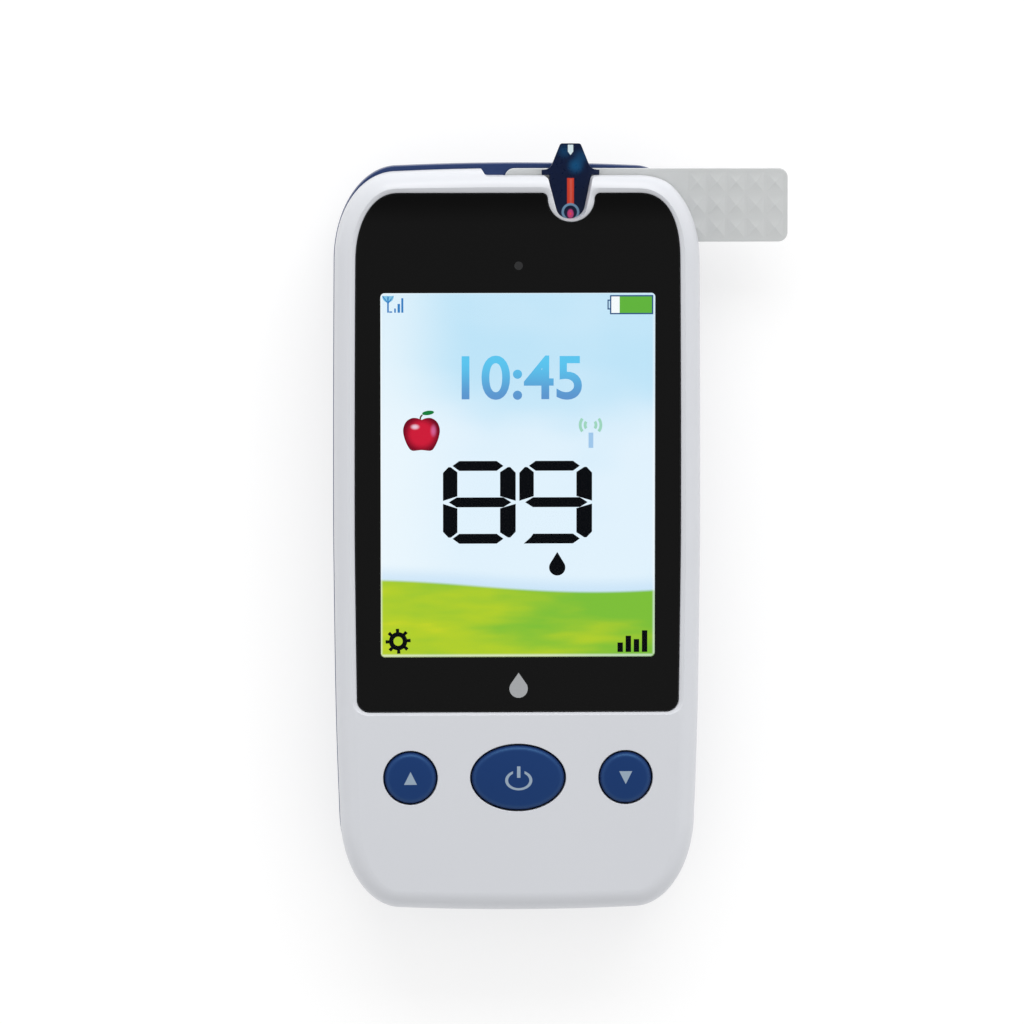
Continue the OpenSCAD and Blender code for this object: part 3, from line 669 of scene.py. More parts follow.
# %% Heights and posts inside the front half
ledge_z = lens_low.z - 1.2
front_wall_z = case_h - wall
board_high = size_of("main_board")[1]
board_screw_low, board_screw_high = size_of("board_screws")
board_screw_x = 9
board_boss_r = 1.7
pilot_r, pilot_depth = 0.98, 5  # the holes that the case screws cut their thread in
print(f"ledge of the lens at {ledge_z:.2f} mm, inner face at {front_wall_z:.2f} mm")
board_screw_y = (board_screw_low.y + board_screw_high.y) / 2


# %% Front half as a stack of outlines
def lofted(name, profile, end_shift=0.0):
    """The case's outline taken through a profile of (inset, height)."""
    outlines = [case_outline(inset, end_shift) for inset, _ in profile]
    return skin(name, outlines, [z for _, z in profile])


def post(centre, radius, low, high, steps=32):
    """An upright cylinder."""
    return prism("post", oval(centre, 2 * radius, 2 * radius, steps), low, high)


def front_case():
    """The white moulding."""
    w, h = front_round_w, front_round_h
    start = case_h - h
    outside = [(reveal + 0.12, joint_z), (reveal, joint_z + 0.15)]
    outside += [(reveal + w * (1 - cos(t)), start + h * sin(t)) for t in quarter(16)]
    inside = [(reveal + wall, joint_z - 1)]
    inside += [
        (reveal + w - (w - wall) * cos(t), start + (h - wall) * sin(t)) for t in quarter(6)
    ]
    end_shift = strip_end_reveal - reveal
    cavity = lofted("cavity", inside, end_shift)
    cut(cavity, box("rib", (step_x - 1, step_y - wall, 0), (half_w + 1, half_l + 1, case_h)))
    case = cut(lofted("front_case", outside, end_shift), cavity)
    posts = [
        post(p, boss_r, joint_z, (ledge_z if p[1] > 0 else front_wall_z) + 0.1)
        for p in screw_places
    ]
    posts += [
        post((x, board_screw_y), board_boss_r, board_high.z, front_wall_z + 0.1)
        for x in (-board_screw_x, board_screw_x)
    ]
    ledge = prism("ledge", lens_outline(wall - 0.2), ledge_z, front_wall_z + 0.3)
    port_end = [(port_mid + 4.4, step_y - 0.3), (port_mid - 4.4, step_y - 0.3)]
    port = prism("port", port_bowl(1.1) + port_end, strip_high.z + 0.2, lens_low.z + 0.2)
    join(case, ledge, port, *posts)
    cut(case, *front_cutters())
    cut(case, *[post(p, pilot_r, joint_z - 1, joint_z + pilot_depth) for p in screw_places])
    return smooth(case)


front = front_case()
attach(front, "case")
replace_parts(front, "front_shell")
print(f"front half: {len(front.data.polygons)} faces")

# %% [markdown]
# ## Back half of the case and the battery door
# The navy half is a bowl with a rounder edge, so that it sits well in a hand. The door slides
# out towards the bottom end on two tongues, and both surfaces have to run on as one: the door
# is the same skin as the shell, kept only inside the door's width. Its grip ridges repeat by
# a rule, so Geometry Nodes lay out the cutters.


# %% A helper that builds a Geometry Nodes tree
class Tree:
    """A Geometry Nodes tree. Each call adds one node and returns its output."""

    def __init__(self, name):
        self.group = bpy.data.node_groups.new(name, "GeometryNodeTree")
        for way in ("OUTPUT", "INPUT"):
            self.group.interface.new_socket(
                "Geometry", in_out=way, socket_type="NodeSocketGeometry"
            )
        self.start = self.group.nodes.new("NodeGroupInput")
        self.stop = self.group.nodes.new("NodeGroupOutput")
        self.values = {}

    def value(self, name, value):
        """A named input: a number, a whole number, an object or a material."""
        kinds = {float: "Float", int: "Int"}
        kinds.update({bpy.types.Object: "Object", bpy.types.Material: "Material"})
        socket = self.group.interface.new_socket(
            name, in_out="INPUT", socket_type="NodeSocket" + kinds[type(value)]
        )
        self.values[socket.identifier] = value
        return self.start.outputs[name]

    def add(self, kind, settings=None, **inputs):
        """One node. Inputs go by name, with _ for a space, or by number, as _0 and _1."""
        node = self.group.nodes.new(kind)
        for key, value in (settings or {}).items():
            setattr(node, key, value)
        for key, value in inputs.items():
            place = int(key[1:]) if key[1:].isdigit() else key.replace("_", " ")
            socket = node.inputs[place]
            if isinstance(value, bpy.types.NodeSocket):
                self.group.links.new(value, socket)
            else:
                socket.default_value = value
        return node.outputs[0]

    def sum(self, *terms):
        """The sum of numbers and outputs."""
        total = terms[0]
        for term in terms[1:]:
            total = self.add("ShaderNodeMath", {"operation": "ADD"}, _0=total, _1=term)
        return total

    def times(self, first, second):
        return self.add("ShaderNodeMath", {"operation": "MULTIPLY"}, _0=first, _1=second)

    def vector(self, x=0.0, y=0.0, z=0.0):
        return self.add("ShaderNodeCombineXYZ", X=x, Y=y, Z=z)

    def together(self, *geometries):
        """Several geometries as one."""
        joined = self.group.nodes.new("GeometryNodeJoinGeometry")
        for geometry in geometries:
            self.group.links.new(geometry, joined.inputs[0])
        return joined.outputs[0]

    def build(self, name, geometry, material):
        """Realizes the instances, sets the material and returns a plain mesh object."""
        realized = self.add("GeometryNodeRealizeInstances", Geometry=geometry)
        done = self.add("GeometryNodeSetMaterial", Geometry=realized, Material=material)
        self.group.links.new(done, self.stop.inputs[0])
        made = add_object(name, bpy.data.meshes.new(name))
        modifier = made.modifiers.new(name, "NODES")
        modifier.node_group = self.group
        for identifier, value in self.values.items():
            modifier[identifier] = value
        return settle(made)


# %% Values of the back half
door_w = door_high.x - door_low.x
rail_w = 0.8  # width of the tongue on each side of the door
rail_z, rail_t = 0.8, 0.6
cap_w = door_w - 2 * rail_w  # width of the door without its tongues
battery_low, battery_high = size_of("battery_pack")
cell_low, cell_high = size_of("backup_cell")
bay_wall = 1.2
bay_gap = 0.2  # free space round the battery
sink_r, shank_hole_r = 1.9, 1.1
cell_seat_r, cell_wall = 6.35, 0.8
print(f"door {door_w:.1f} mm wide with its tongues, {cap_w:.1f} mm without")


# %% Bowl and sound holes
def back_bowl(name, shrink=0.0):
    """The solid form of the back half."""
    w, h = back_round_w, back_round_h
    profile = [(w * (1 - sin(t)) + shrink, h * (1 - cos(t))) for t in quarter(18)]
    return lofted(name, profile + [(shrink, joint_z - 0.12), (shrink + 0.1, joint_z)])


def sound_holes(material):
    """Cutters for the holes under the buzzer: one in the middle and a ring round it."""
    tree = Tree("sound_holes")
    count = tree.value("Holes in the ring", 6)
    pitch = tree.value("Pitch", 2.2 * MM)
    radius = tree.value("Hole radius", 0.6 * MM)
    ring = tree.add("GeometryNodeMeshCircle", Vertices=count, Radius=pitch)
    middle_point = tree.add("GeometryNodeMeshLine", Count=1)
    x, y = middle(*size_of("buzzer"))
    placed = tree.add("GeometryNodeTransform", Geometry=tree.together(ring, middle_point),
                      Translation=tree.vector(x * MM, y * MM, 0.0))
    drill = tree.add("GeometryNodeMeshCylinder", Vertices=24, Radius=radius, Depth=8 * MM)
    drills = tree.add("GeometryNodeInstanceOnPoints", Points=placed, Instance=drill)
    return tree.build("sound_holes", drills, tree.value("Material", material))


# %% Back half
def back_case():
    """The navy moulding with the battery bay, the door's rails and the screw holes."""
    w, h = back_round_w, back_round_h
    inside = [(w - (w - wall) * sin(t), h - (h - wall) * cos(t)) for t in quarter(6)]
    case = cut(back_bowl("back_case"), lofted("cavity", inside + [(wall, joint_z + 1)]))
    thick = common(
        box("floor", (-door_w / 2 - wall, -half_l - 1, -1),
            (door_w / 2 + wall, door_high.y + wall, battery_low.z + 1)),
        back_bowl("bowl"),
    )
    out = bay_gap + bay_wall
    bay = box("bay", (battery_low.x - out, battery_low.y - out, 1),
              (battery_high.x + out, battery_high.y + out, joint_z - 0.4))
    posts = [post(p, boss_r + 0.4, 1, joint_z) for p in screw_places]
    seat = post(middle(cell_low, cell_high), cell_seat_r + cell_wall, 1, joint_z - 0.1, 96)
    join(case, thick, bay, *posts, seat)
    recess = rounded((0, (door_high.y - half_l - 2) / 2 + 0.1), cap_w + 0.2,
                     door_high.y + half_l + 2.2, 1.2)
    cutters = [
        box("battery", (battery_low.x - bay_gap, battery_low.y - bay_gap, -1),
            (battery_high.x + bay_gap, battery_high.y + bay_gap, joint_z - 1.4)),
        prism("door", recess, -1, battery_low.z),
        box("rails", (-door_w / 2 - 0.15, -half_l - 1, rail_z - 0.1),
            (door_w / 2 + 0.15, door_high.y + 0.2, rail_z + rail_t + 0.1)),
        box("contacts", (-5.5, battery_high.y - 1, battery_low.z + 1.9),
            (5.5, battery_high.y + 3, battery_low.z + 4.3)),
        post(middle(cell_low, cell_high), cell_seat_r, cell_low.z, joint_z + 1, 96),
        usb_opening(),
        sound_holes(navy_case.material),
    ]
    for place in screw_places:
        rim = [(sink_r + LIP * (1 - sin(t)), -0.01 + LIP * (1 - cos(t))) for t in quarter(4)]
        shank = [(sink_r, 3), (shank_hole_r, 3), (shank_hole_r, 12), (0, 12)]
        hole = [(0, -1), (rim[0][0], -1)] + rim + shank
        cutters.append(turned("screw_hole", place, hole, 48))
    cut(case, *cutters)
    return smooth(case)


back = back_case()
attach(back, "case")
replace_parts(back, "back_shell")
print(f"back half: {len(back.data.polygons)} faces")


# %% Battery door with ridged grip
def soften(piece, width, angle=40, segments=2):
    """Rounds every edge sharper than the angle."""
    bevel = piece.modifiers.new("soften", "BEVEL")
    bevel.width = width * MM
    bevel.segments = segments
    bevel.limit_method = "ANGLE"
    bevel.angle_limit = radians(angle)
    bevel.use_clamp_overlap = True
    return settle(piece)


def grip_cutters(material):
    """Round-bottomed grooves across the door, each a little longer than the last."""
    tree = Tree("grip_grooves")
    count = tree.value("Grooves", 5)
    pitch = tree.value("Pitch", 1.8 * MM)
    length = tree.value("First length", 14 * MM)
    longer = tree.value("Growth", 2 / 14)
    first = tree.vector(0, (13 - half_l) * MM, -0.35 * MM)
    line = tree.add("GeometryNodeMeshLine", Count=count, Start_Location=first,
                    Offset=tree.vector(0, pitch, 0))
    rod = tree.add("GeometryNodeMeshCylinder", Vertices=24, Radius=0.75 * MM, Depth=length)
    index = tree.add("GeometryNodeInputIndex")
    stretch = tree.vector(1, 1, tree.sum(tree.times(index, longer), 1.0))
    rods = tree.add("GeometryNodeInstanceOnPoints", Points=line, Instance=rod,
                    Rotation=(0, pi / 2, 0), Scale=stretch)
    return tree.build("grip_cutters", rods, tree.value("Material", material))


def battery_door():
    """The part of the back that slides off, with tongues along its sides."""
    low_y = -half_l - 1
    cap = rounded((0, (door_high.y + low_y) / 2), cap_w, door_high.y - low_y, 1.0)
    door = common(prism("battery_cover", cap, -1, door_high.z), back_bowl("bowl"))
    cut(door, grip_cutters(navy_case.material))
    soften(door, 0.12)
    tongues = box("tongues", (-door_w / 2, 5 - half_l, rail_z),
                  (door_w / 2, door_high.y - 1, rail_z + rail_t))
    join(door, tongues)
    return smooth(door)


door = paint(battery_door(), navy_case)
paint(back, navy_case)
paint(front, white_case)
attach(door, "door")
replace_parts(door, "battery_door")
print(f"battery door: {len(door.data.polygons)} faces")

# %% [markdown]
# ## Lens and display
# The lens is one sheet of acrylic, printed black from behind except for the window. A black
# solid with a clear pane set in it looks the same and stays readable in any renderer. The
# display glows by itself: its picture is a shader on the panel, and its figures and symbols are
# paper-thin solids just above it, so their edges stay sharp at any distance.

# %% Lens, window and light sensor
WINDOW_CORNER = 0.6
SENSOR_R = 0.62
sensor_low, sensor_high = size_of("light_pipe")
screen_w, screen_l = panel_high.x - panel_low.x - 1.2, panel_high.y - panel_low.y - 1.4
screen_at = middle(panel_low, panel_high)
lens_black = Finish("lens_black", linear(13, 13, 13), 0.06, Specular_IOR_Level=0.45)
smear = lens_black.noise(22, 3.0)
_, lens_y, _ = lens_black.place()
# painted shade: the black turns darker, and a little glossier, towards the top end of the lens
painted_shade_top = lens_y.between(lens_high.y - 5, lens_high.y - 0.5)
lens_black.set(
    Base_Color=lens_black.blend(painted_shade_top, linear(13, 13, 13), linear(2, 2, 2)),
    Roughness=(smear - 0.5) * 0.06 + 0.09 - painted_shade_top * 0.04,
)
COATED = 1.15  # an anti-reflection coat makes the pane mirror less than bare plastic
clear_pane = Finish("clear_pane", (1, 1, 1), 0.02, IOR=COATED, Transmission_Weight=1.0)
print_grey = moulded("print_grey", linear(158, 160, 162), 0.5, grain=0.2, uneven=0.06)
sensor_smoke = moulded("sensor_smoke", linear(40, 40, 41), 0.3, grain=0.3, uneven=0.1)


def window(grow, low, high):
    """The shape of the clear part of the lens, made larger by grow."""
    outline = rounded(screen_at, screen_w + 2 * grow, screen_l + 2 * grow, WINDOW_CORNER + grow)
    return prism("window_pane", outline, low, high)


lens = skin("lens", [lens_outline(0), lens_outline(0), lens_outline(-0.1)],
            [lens_low.z, lens_high.z - 0.08, lens_high.z])
cut(lens, window(0, lens_low.z - 1, lens_high.z + 1))
paint(smooth(lens), lens_black)
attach(lens, "case")
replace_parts(lens, "display_lens")
pane = paint(window(0.05, lens_high.z - 0.3, lens_high.z - 0.01), clear_pane)
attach(pane, "case")
under, over = lens_high.z - 0.1, lens_high.z + 0.008
disc = [(0, under), (SENSOR_R, under), (SENSOR_R, over), (0, over)]
sensor = turned("sensor_window", middle(sensor_low, sensor_high), disc, 48, "case")
paint(smooth(sensor), sensor_smoke)
print(f"lens: {len(lens.data.polygons)} faces, window {screen_w:.1f} x {screen_l:.1f} mm")


# %% Flat symbols
def path_normal(points, i):
    """The unit normal of a path at its point i."""
    ahead = points[min(i + 1, len(points) - 1)]
    behind = points[max(i - 1, 0)]
    dx, dy = ahead[0] - behind[0], ahead[1] - behind[1]
    length = hypot(dx, dy)
    return -dy / length, dx / length


def stroke(points, width):
    """The outline of a line of some width along a path."""
    left, right = [], []
    for i, (x, y) in enumerate(points):
        nx, ny = path_normal(points, i)
        left.append((x + nx * width / 2, y + ny * width / 2))
        right.append((x - nx * width / 2, y - ny * width / 2))
    return right + left[::-1]


def moved(outline, x, y):
    """An outline shifted by x and y."""
    return [(x + px, y + py) for px, py in outline]


def drop(width, height, steps=28):
    """A drop: a round bowl below and a point above, with its middle at the origin."""
    r = width / 2
    low = r - height / 2
    touch = degrees(acos(r / (height - r)))
    bowl = arc((0, low), (r, r), 90 + touch, 360 - 2 * touch, steps)
    return bowl + [(0, height / 2)]


def area_twice(outline):
    """Twice an outline's area, below 0 where it runs clockwise."""
    pairs = zip(outline, outline[1:] + outline[:1])
    return sum(a[0] * b[1] - b[0] * a[1] for a, b in pairs)


def flat_marks(name, outlines, low, high, finish):
    """One piece made of several thin plates."""
    points, faces = [], []
    for outline in outlines:
        if area_twice(outline) < 0:
            outline = outline[::-1]
        more_points, more_faces = stacked([outline, outline], [low, high], len(points))
        points += more_points
        faces += more_faces
    return paint(solid(name, points, faces, "case"), finish)


lens_print = [moved(drop(2.7, 3.7), 0.1, lens_low.y + 3.9)]
flat_marks("lens_mark", lens_print, lens_high.z, lens_high.z + 0.01, print_grey)
print(f"a drop of {len(lens_print[0])} points on the lens")

# %% The picture on the display
screen_left, screen_low = screen_at[0] - screen_w / 2, screen_at[1] - screen_l / 2


def in_block(x, y, half_x, half_y):
    """How far inside a rectangle a place is. It's below 0 outside."""
    return (half_x - x.size()).at_most(half_y - y.size())


def glowing(name, *colour):
    """Light of a screen colour from a surface that is black by itself."""
    return Finish(name, (0, 0, 0), 0.5, Emission_Color=linear(*colour), Emission_Strength=1.0,
                  Specular_IOR_Level=0.0)


def wallpaper():
    """A pale sky over a green field with a painted highlight along its edges, worked out from the
    place on the panel.
    """
    finish = glowing("wallpaper", 215, 236, 248)
    x, y, _ = finish.place()
    across = (x - screen_left) / screen_w
    up = (y - screen_low) / screen_l
    drift = finish.noise(17, 2.0, (1.5, 1, 1))
    wisps = finish.noise(5, 3.0, (2.5, 1, 1))
    blue, pale = linear(191, 229, 249), linear(226, 243, 254)
    deep = up.between(0.35, 1.0) * 0.8 + (drift - 0.5) * 1.6 + (wisps - 0.5) * 0.25
    sky = finish.blend(deep.between(0.05, 1.0), pale, blue)
    sky = finish.blend(across.between(0.35, 0.0) * 0.65, sky, linear(240, 250, 255))
    horizon = (across * 3.6 + 0.3).math("COSINE") * 0.0175 + 0.1935
    haze = (up - horizon).between(0.05, 0.0)
    sky = finish.blend(haze * 0.55, sky, linear(188, 220, 246))
    patches = finish.noise(3.4, 2.0, (4.2, 1, 1))
    blades = finish.noise(1.2, 3.0, (5.0, 1, 1))
    shade = ((patches - 0.5) * 1.9 + (blades - 0.5) * 0.4 + (0.8 - across) * 0.9
             + (0.10 - up) * 1.6)
    field = finish.blend(shade.between(-0.25, 0.75), linear(126, 192, 58), linear(180, 208, 46))
    field = finish.blend(shade.between(0.65, 1.2) * 0.85, field, linear(222, 222, 44))
    grass = (horizon - up).between(-0.004, 0.006)
    picture = finish.blend(grass, sky, field)
    from_edge = in_block(x - screen_at[0], y - screen_at[1], screen_w / 2, screen_l / 2)
    # painted highlight: the picture whitens within 0.4 mm of the window's edges
    painted_edge_highlight = from_edge.between(0.4, 0.0)
    finish.set(Emission_Color=finish.blend(painted_edge_highlight * 0.5, picture, linear(248, 252, 254)))
    return finish


screen_picture = wallpaper()
panel_outline = rounded(screen_at, panel_high.x - panel_low.x, panel_high.y - panel_low.y, 0.4)
panel = prism("display_screen", panel_outline, panel_low.z, panel_high.z, "case")
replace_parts(paint(panel, screen_picture), "display_panel")
print(f"picture of {len(screen_picture.tree.nodes)} shader nodes")

# %% Figures of the reading
ink = glowing("ink", 10, 12, 16)
INK_LOW, INK_HIGH = panel_high.z, panel_high.z + 0.05
DIGIT_W, DIGIT_H = 10.7, 12.2
BAR_T = 1.45
LEFT_POST, RIGHT_POST = 2.12, 2.3
SEGMENTS_OF = {8: "abcdefg", 9: "abchfg"}  # h is the low bar of a 9, cut to a tail


def bar(y, left, right, tip=1.0):
    """A level segment, pointed at both ends."""
    stop, half = DIGIT_W - right, BAR_T / 2
    return [(stop, y), (stop - tip, y + half), (left + tip, y + half),
            (left, y), (left + tip, y - half), (stop - tip, y - half)]


def upright(x_out, x_in, y_mid, y_end):
    """An upright segment: cut off at its outer corner and slanted towards the middle bar."""
    turn = 1 if y_end > y_mid else -1
    lean = 1 if x_in > x_out else -1
    return [(x_out, y_mid + 0.22 * turn), (x_out, y_end - 0.85 * turn),
            (x_out + 0.8 * lean, y_end), (x_out + 1.15 * lean, y_end),
            (x_in, y_end - 0.75 * turn), (x_in, y_mid + 0.9 * turn)]


def digit(number, x, y):
    """The segments of one figure whose lower left corner is at x, y."""
    mid = DIGIT_H / 2
    top, low = DIGIT_H - 0.9, 0.9
    shapes = {
        "a": bar(DIGIT_H - BAR_T / 2, 1.4, 1.8),
        "b": upright(DIGIT_W, DIGIT_W - RIGHT_POST, mid, top),
        "c": upright(DIGIT_W, DIGIT_W - RIGHT_POST, mid, low),
        "d": bar(BAR_T / 2, 1.4, 1.8),
        "e": upright(0, LEFT_POST, mid, low),
        "f": upright(0, LEFT_POST, mid, top),
        "g": bar(mid, 0.85, 0.65, 1.15),
    }
    tail = list(shapes["d"])
    tail[2:5] = [(tail[2][0] - 0.35, BAR_T), (tail[2][0] - 0.75, BAR_T * 0.62), (0.65, 0)]
    shapes["h"] = tail
    return [moved(shapes[s], x, y) for s in SEGMENTS_OF[number]]


reading_y = screen_low + 16.6
reading = digit(8, screen_left + 9.18, reading_y) + digit(9, screen_left + 20.42, reading_y)
flat_marks("reading", reading, INK_LOW, INK_HIGH, ink)
print(f"reading: {len(reading)} segments")


# %% Clock in the place of a title
def clock_face(text, finish, size, centre):
    """Plain figures set with Blender's own font and made a mesh."""
    curve = bpy.data.curves.new("clock", "FONT")
    curve.body = text
    curve.size = size * MM
    curve.offset = 0.14 * MM
    curve.extrude = (INK_HIGH - INK_LOW) / 2 * MM
    curve.align_x, curve.align_y = "CENTER", "CENTER"
    curve.resolution_u = 6
    words = add_object("clock", curve)
    graph = bpy.context.evaluated_depsgraph_get()
    mesh = bpy.data.meshes.new_from_object(words.evaluated_get(graph))
    bpy.data.objects.remove(words)
    made = add_object("clock", mesh)
    for vertex in mesh.vertices:
        vertex.co += Vector((centre[0], centre[1], (INK_LOW + INK_HIGH) / 2)) * MM
    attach(made, "case")
    return paint(made, finish)


sky_blue = glowing("sky_blue", 95, 180, 225)
_, high_up, _ = sky_blue.place()
clock_y = screen_low + 40.7
sky_blue.set(Emission_Color=sky_blue.blend((high_up - clock_y).between(-3.2, 3.2),
                                           linear(94, 148, 206), linear(92, 198, 240)))
clock = clock_face("10:45", sky_blue, 8.9, (screen_at[0], clock_y))
print(f"clock: {len(clock.data.polygons)} faces")


# %% Signal and battery signs
def at(x, y):
    """A place on the screen, measured from its lower left corner."""
    return screen_left + x, screen_low + y


def sheet_of(name, finish, *outlines):
    """Ink or light on the display."""
    return flat_marks(name, outlines, INK_LOW, INK_HIGH, finish)


def block(x, y, w, h):
    """A rectangle with its lower left corner at x, y of the screen."""
    x0, y0 = at(x, y)
    return [(x0, y0), (x0 + w, y0), (x0 + w, y0 + h), (x0, y0 + h)]


# a mast and its foot, then three bars: left, width and height
signal_parts = ((1.02, 0.24, 2.4), (1.3, 0.45, 0.2), (2.05, 0.24, 0.62), (2.54, 0.36, 1.29),
                (3.09, 0.3, 2.13))
signal = [block(x, 50.65, w, h) for x, w, h in signal_parts]
signal += [stroke([at(1.14 + 0.8 * s, 53.1), at(1.14, 52.0)], 0.16) for s in (-1, 1)]
sheet_of("signal", glowing("signal_blue", 52, 128, 196), *signal)
dish = arc(at(1.14, 53.1), (0.85, 0.95), 180, 180, 16)
sheet_of("signal_dish", glowing("dish_blue", 128, 196, 230), dish)
# the battery's four walls, then the knob on its left: left, low, width and height
frame_parts = ((33.73, 50.36, 6.36, 0.2), (33.73, 52.98, 6.36, 0.2), (33.73, 50.56, 0.2, 2.42),
               (39.89, 50.56, 0.2, 2.42), (33.36, 51.24, 0.18, 1.1), (33.36, 51.06, 0.37, 0.18),
               (33.36, 52.34, 0.37, 0.18))
battery = [block(*part) for part in frame_parts]
sheet_of("battery_frame", glowing("frame_blue", 48, 84, 130), *battery)
charge = block(35.15, 50.56, 4.74, 2.42)
sheet_of("battery_charge", glowing("charge_green", 98, 180, 62), charge)
used_up = block(33.93, 50.56, 1.22, 2.42)
sheet_of("battery_blank", glowing("blank_white", 246, 252, 254), used_up)
print(f"signs: {len(signal) + 1} plates for the signal, {len(battery) + 2} for the battery")

# %% Aerial, drop, gear and bars
waves = [stroke(arc(at(30.89, 34.07), (r, r), a, 76, 36), 0.42)
         for r in (0.8, 1.52) for a in (-38, 142)]
sheet_of("wireless_waves", glowing("wave_green", 158, 214, 190), *waves)
sheet_of("wireless_mast", glowing("mast_blue", 160, 200, 236), block(30.6, 30.7, 0.7, 2.25))
sheet_of("unit_drop", ink, moved(drop(2.4, 3.5), *at(26.0, 13.6)))


def gear(centre, teeth, tip, root, hole):
    """A gear as one outline with its hole joined by a hairline cut."""
    outline = []
    for i in range(teeth):
        turn = 360 * i / teeth
        outline += arc(centre, (root, root), turn - 12, 6, 2)
        outline += arc(centre, (tip, tip), turn - 5, 16, 3)
        outline += arc(centre, (root, root), turn + 13, 8, 2)
    return outline + [outline[0]] + arc(centre, (hole, hole), -12, -360, 32)


cog = gear(at(2.55, 2.2), teeth=8, tip=1.85, root=1.35, hole=0.68)
sheet_of("settings_gear", ink, cog)
bars = [block(34.9 + 1.2 * i, 0.5, 0.8, h) for i, h in enumerate((1.4, 2.4, 1.9, 3.2))]
sheet_of("history_bars", ink, *bars)
print(f"gear of {len(cog)} points, {len(bars)} bars")


# %% Apple
def curved(points, steps=6):
    """A closed smooth outline through a few points."""
    outline = []
    for i in range(len(points)):
        a, b, c, d = (points[(i + k) % len(points)] for k in (-1, 0, 1, 2))
        for t in (j / steps for j in range(steps)):
            outline.append(tuple(
                b[n] + 0.5 * t * (c[n] - a[n] + t * (2 * a[n] - 5 * b[n] + 4 * c[n] - d[n]
                                                     + t * (3 * (b[n] - c[n]) + d[n] - a[n])))
                for n in (0, 1)
            ))
    return outline


def apple_outline(centre):
    """A fruit with broad shoulders, dented above and flat below."""
    half = [(0.6, 2.32), (1.45, 2.33), (2.3, 1.75), (2.7, 0.6), (2.45, -0.8), (1.85, -2.05),
            (1.35, -2.45), (0.6, -2.42)]
    loop = [(0, 2.1)] + half + [(0, -2.36)] + [(-x, y) for x, y in half[::-1]]
    return moved(curved(loop), *centre)


def reach(x, y):
    """Distance of a place on a piece from the point where x and y are 0."""
    return (x * x + y * y).root()


apple_at = at(6.03, 32.8)
apple_red = glowing("apple_red", 190, 28, 52)
ax, ay, _ = apple_red.place()
dx, dy = ax - apple_at[0], ay - apple_at[1]
shaded = apple_red.blend(reach(dx, dy).between(1.3, 2.75), linear(206, 30, 58), linear(112, 12, 34))
rim = reach(dx - 1.75, (dy - 0.5) * 0.5).between(0.6, 0.1)
shaded = apple_red.blend(rim * 0.6, shaded, linear(224, 120, 180))
shine = reach(dx + 0.95, (dy - 1.05) * 1.6).between(0.85, 0.15)
apple_red.set(Emission_Color=apple_red.blend(shine * 0.85, shaded, linear(240, 214, 232)))
apple = sheet_of("apple", apple_red, apple_outline(apple_at))
leaf_path = arc(at(7.0, 35.8), (0.88, 0.32), 0, 360, 24)[:-1]
leaf = [(x, y + 0.12 * (x - leaf_path[12][0])) for x, y in leaf_path]  # it rises to the right
sheet_of("apple_leaf", glowing("leaf_green", 24, 122, 58), leaf)
stalk = stroke(arc(at(6.6, 35.0), (0.75, 0.75), 185, -60, 8), 0.22)
sheet_of("apple_stalk", glowing("stalk_brown", 88, 60, 40), stalk)
print(f"apple of {len(apple.data.vertices)} points, with a leaf and a stalk")

# %% [markdown]
# ## Keys
# Each key is one moulding: a cap with a soft edge, a flange under the case that keeps it from
# falling out, and a stem that presses a snap dome. The two round keys are turned from one
# profile. The power key is oval, so its outlines are stacked instead. The symbols are printed
# and have no thickness: they are shapes in the shader, found from the distance to their edges.


# %% Key blue, with symbols worked out as distances
def edge_mask(inside, blur=0.05):
    """1 where a distance in millimetres is positive, with a soft edge."""
    return inside.between(-blur / 2, blur / 2)


def key_finish(name, centre, symbol):
    """Glossy blue plastic with a grey symbol printed in the middle of the key."""
    finish = moulded(name, BLUE, 0.38, grain=0.12, depth=0.004, uneven=0.05,
                     Specular_Tint=(0.25, 0.62, 1.0))
    x, y, z = finish.place()
    on_top = z.between(key_top - 0.5, key_top - 0.45)
    mark = symbol(x - centre[0], y - centre[1]) * on_top
    return finish.set(Base_Color=finish.blend(mark, finish.base, linear(146, 162, 178)))


def triangle(turn):
    """A small triangle that points up (turn 1) or down (turn -1)."""

    def symbol(x, y):
        base = y * turn + 0.95
        left = x * 0.894 - y * turn * 0.447 + 0.43
        right = x * -0.894 - y * turn * 0.447 + 0.43
        return edge_mask(base.at_most(left).at_most(right))

    return symbol


def power_sign(x, y):
    """A low oval ring that is open at the top, with a bar in the gap."""
    x = x - 0.08
    ring_in = 0.22 - (reach(x, (y + 0.34) * 1.35) - 1.78).size()
    gap = x.size() - 0.85
    open_top = ring_in.at_most(gap.at_least(0 - y))
    return edge_mask(open_top.at_least(in_block(x, y - 0.88, 0.25, 0.84)))


# %% Round keys and the power key
key_top = key_boxes["power_button"][1].z
flange_z = case_h - wall - 0.9
flange_top = flange_z + 0.8
KEY_EDGE = 0.9
STEM_R = 1.6


def cap_profile(radius, crown):
    """Points of a cap from its side to its middle, as (distance from the middle, height)."""
    edge = [(radius - KEY_EDGE * (1 - cos(t)), key_top - crown - KEY_EDGE * (1 - sin(t)))
            for t in quarter(8)]
    dome = [((radius - KEY_EDGE) * s, key_top - crown * s * s) for s in (0.8, 0.6, 0.4, 0.2, 0)]
    return edge + dome


def round_key(name, node, body, symbol):
    """A turned key that replaces one of the two round ones."""
    low, high = key_boxes[node]
    radius = (high.x - low.x) / 2 - key_flange
    foot = [(0, low.z), (STEM_R, low.z), (STEM_R, flange_z), (radius + key_flange, flange_z),
            (radius + key_flange, flange_top), (radius, flange_top)]
    centre = middle(low, high)
    key = turned(name, centre, foot + cap_profile(radius, 0.15), 96, body)
    paint(smooth(key), key_finish(name, centre, symbol))
    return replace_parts(key, node)


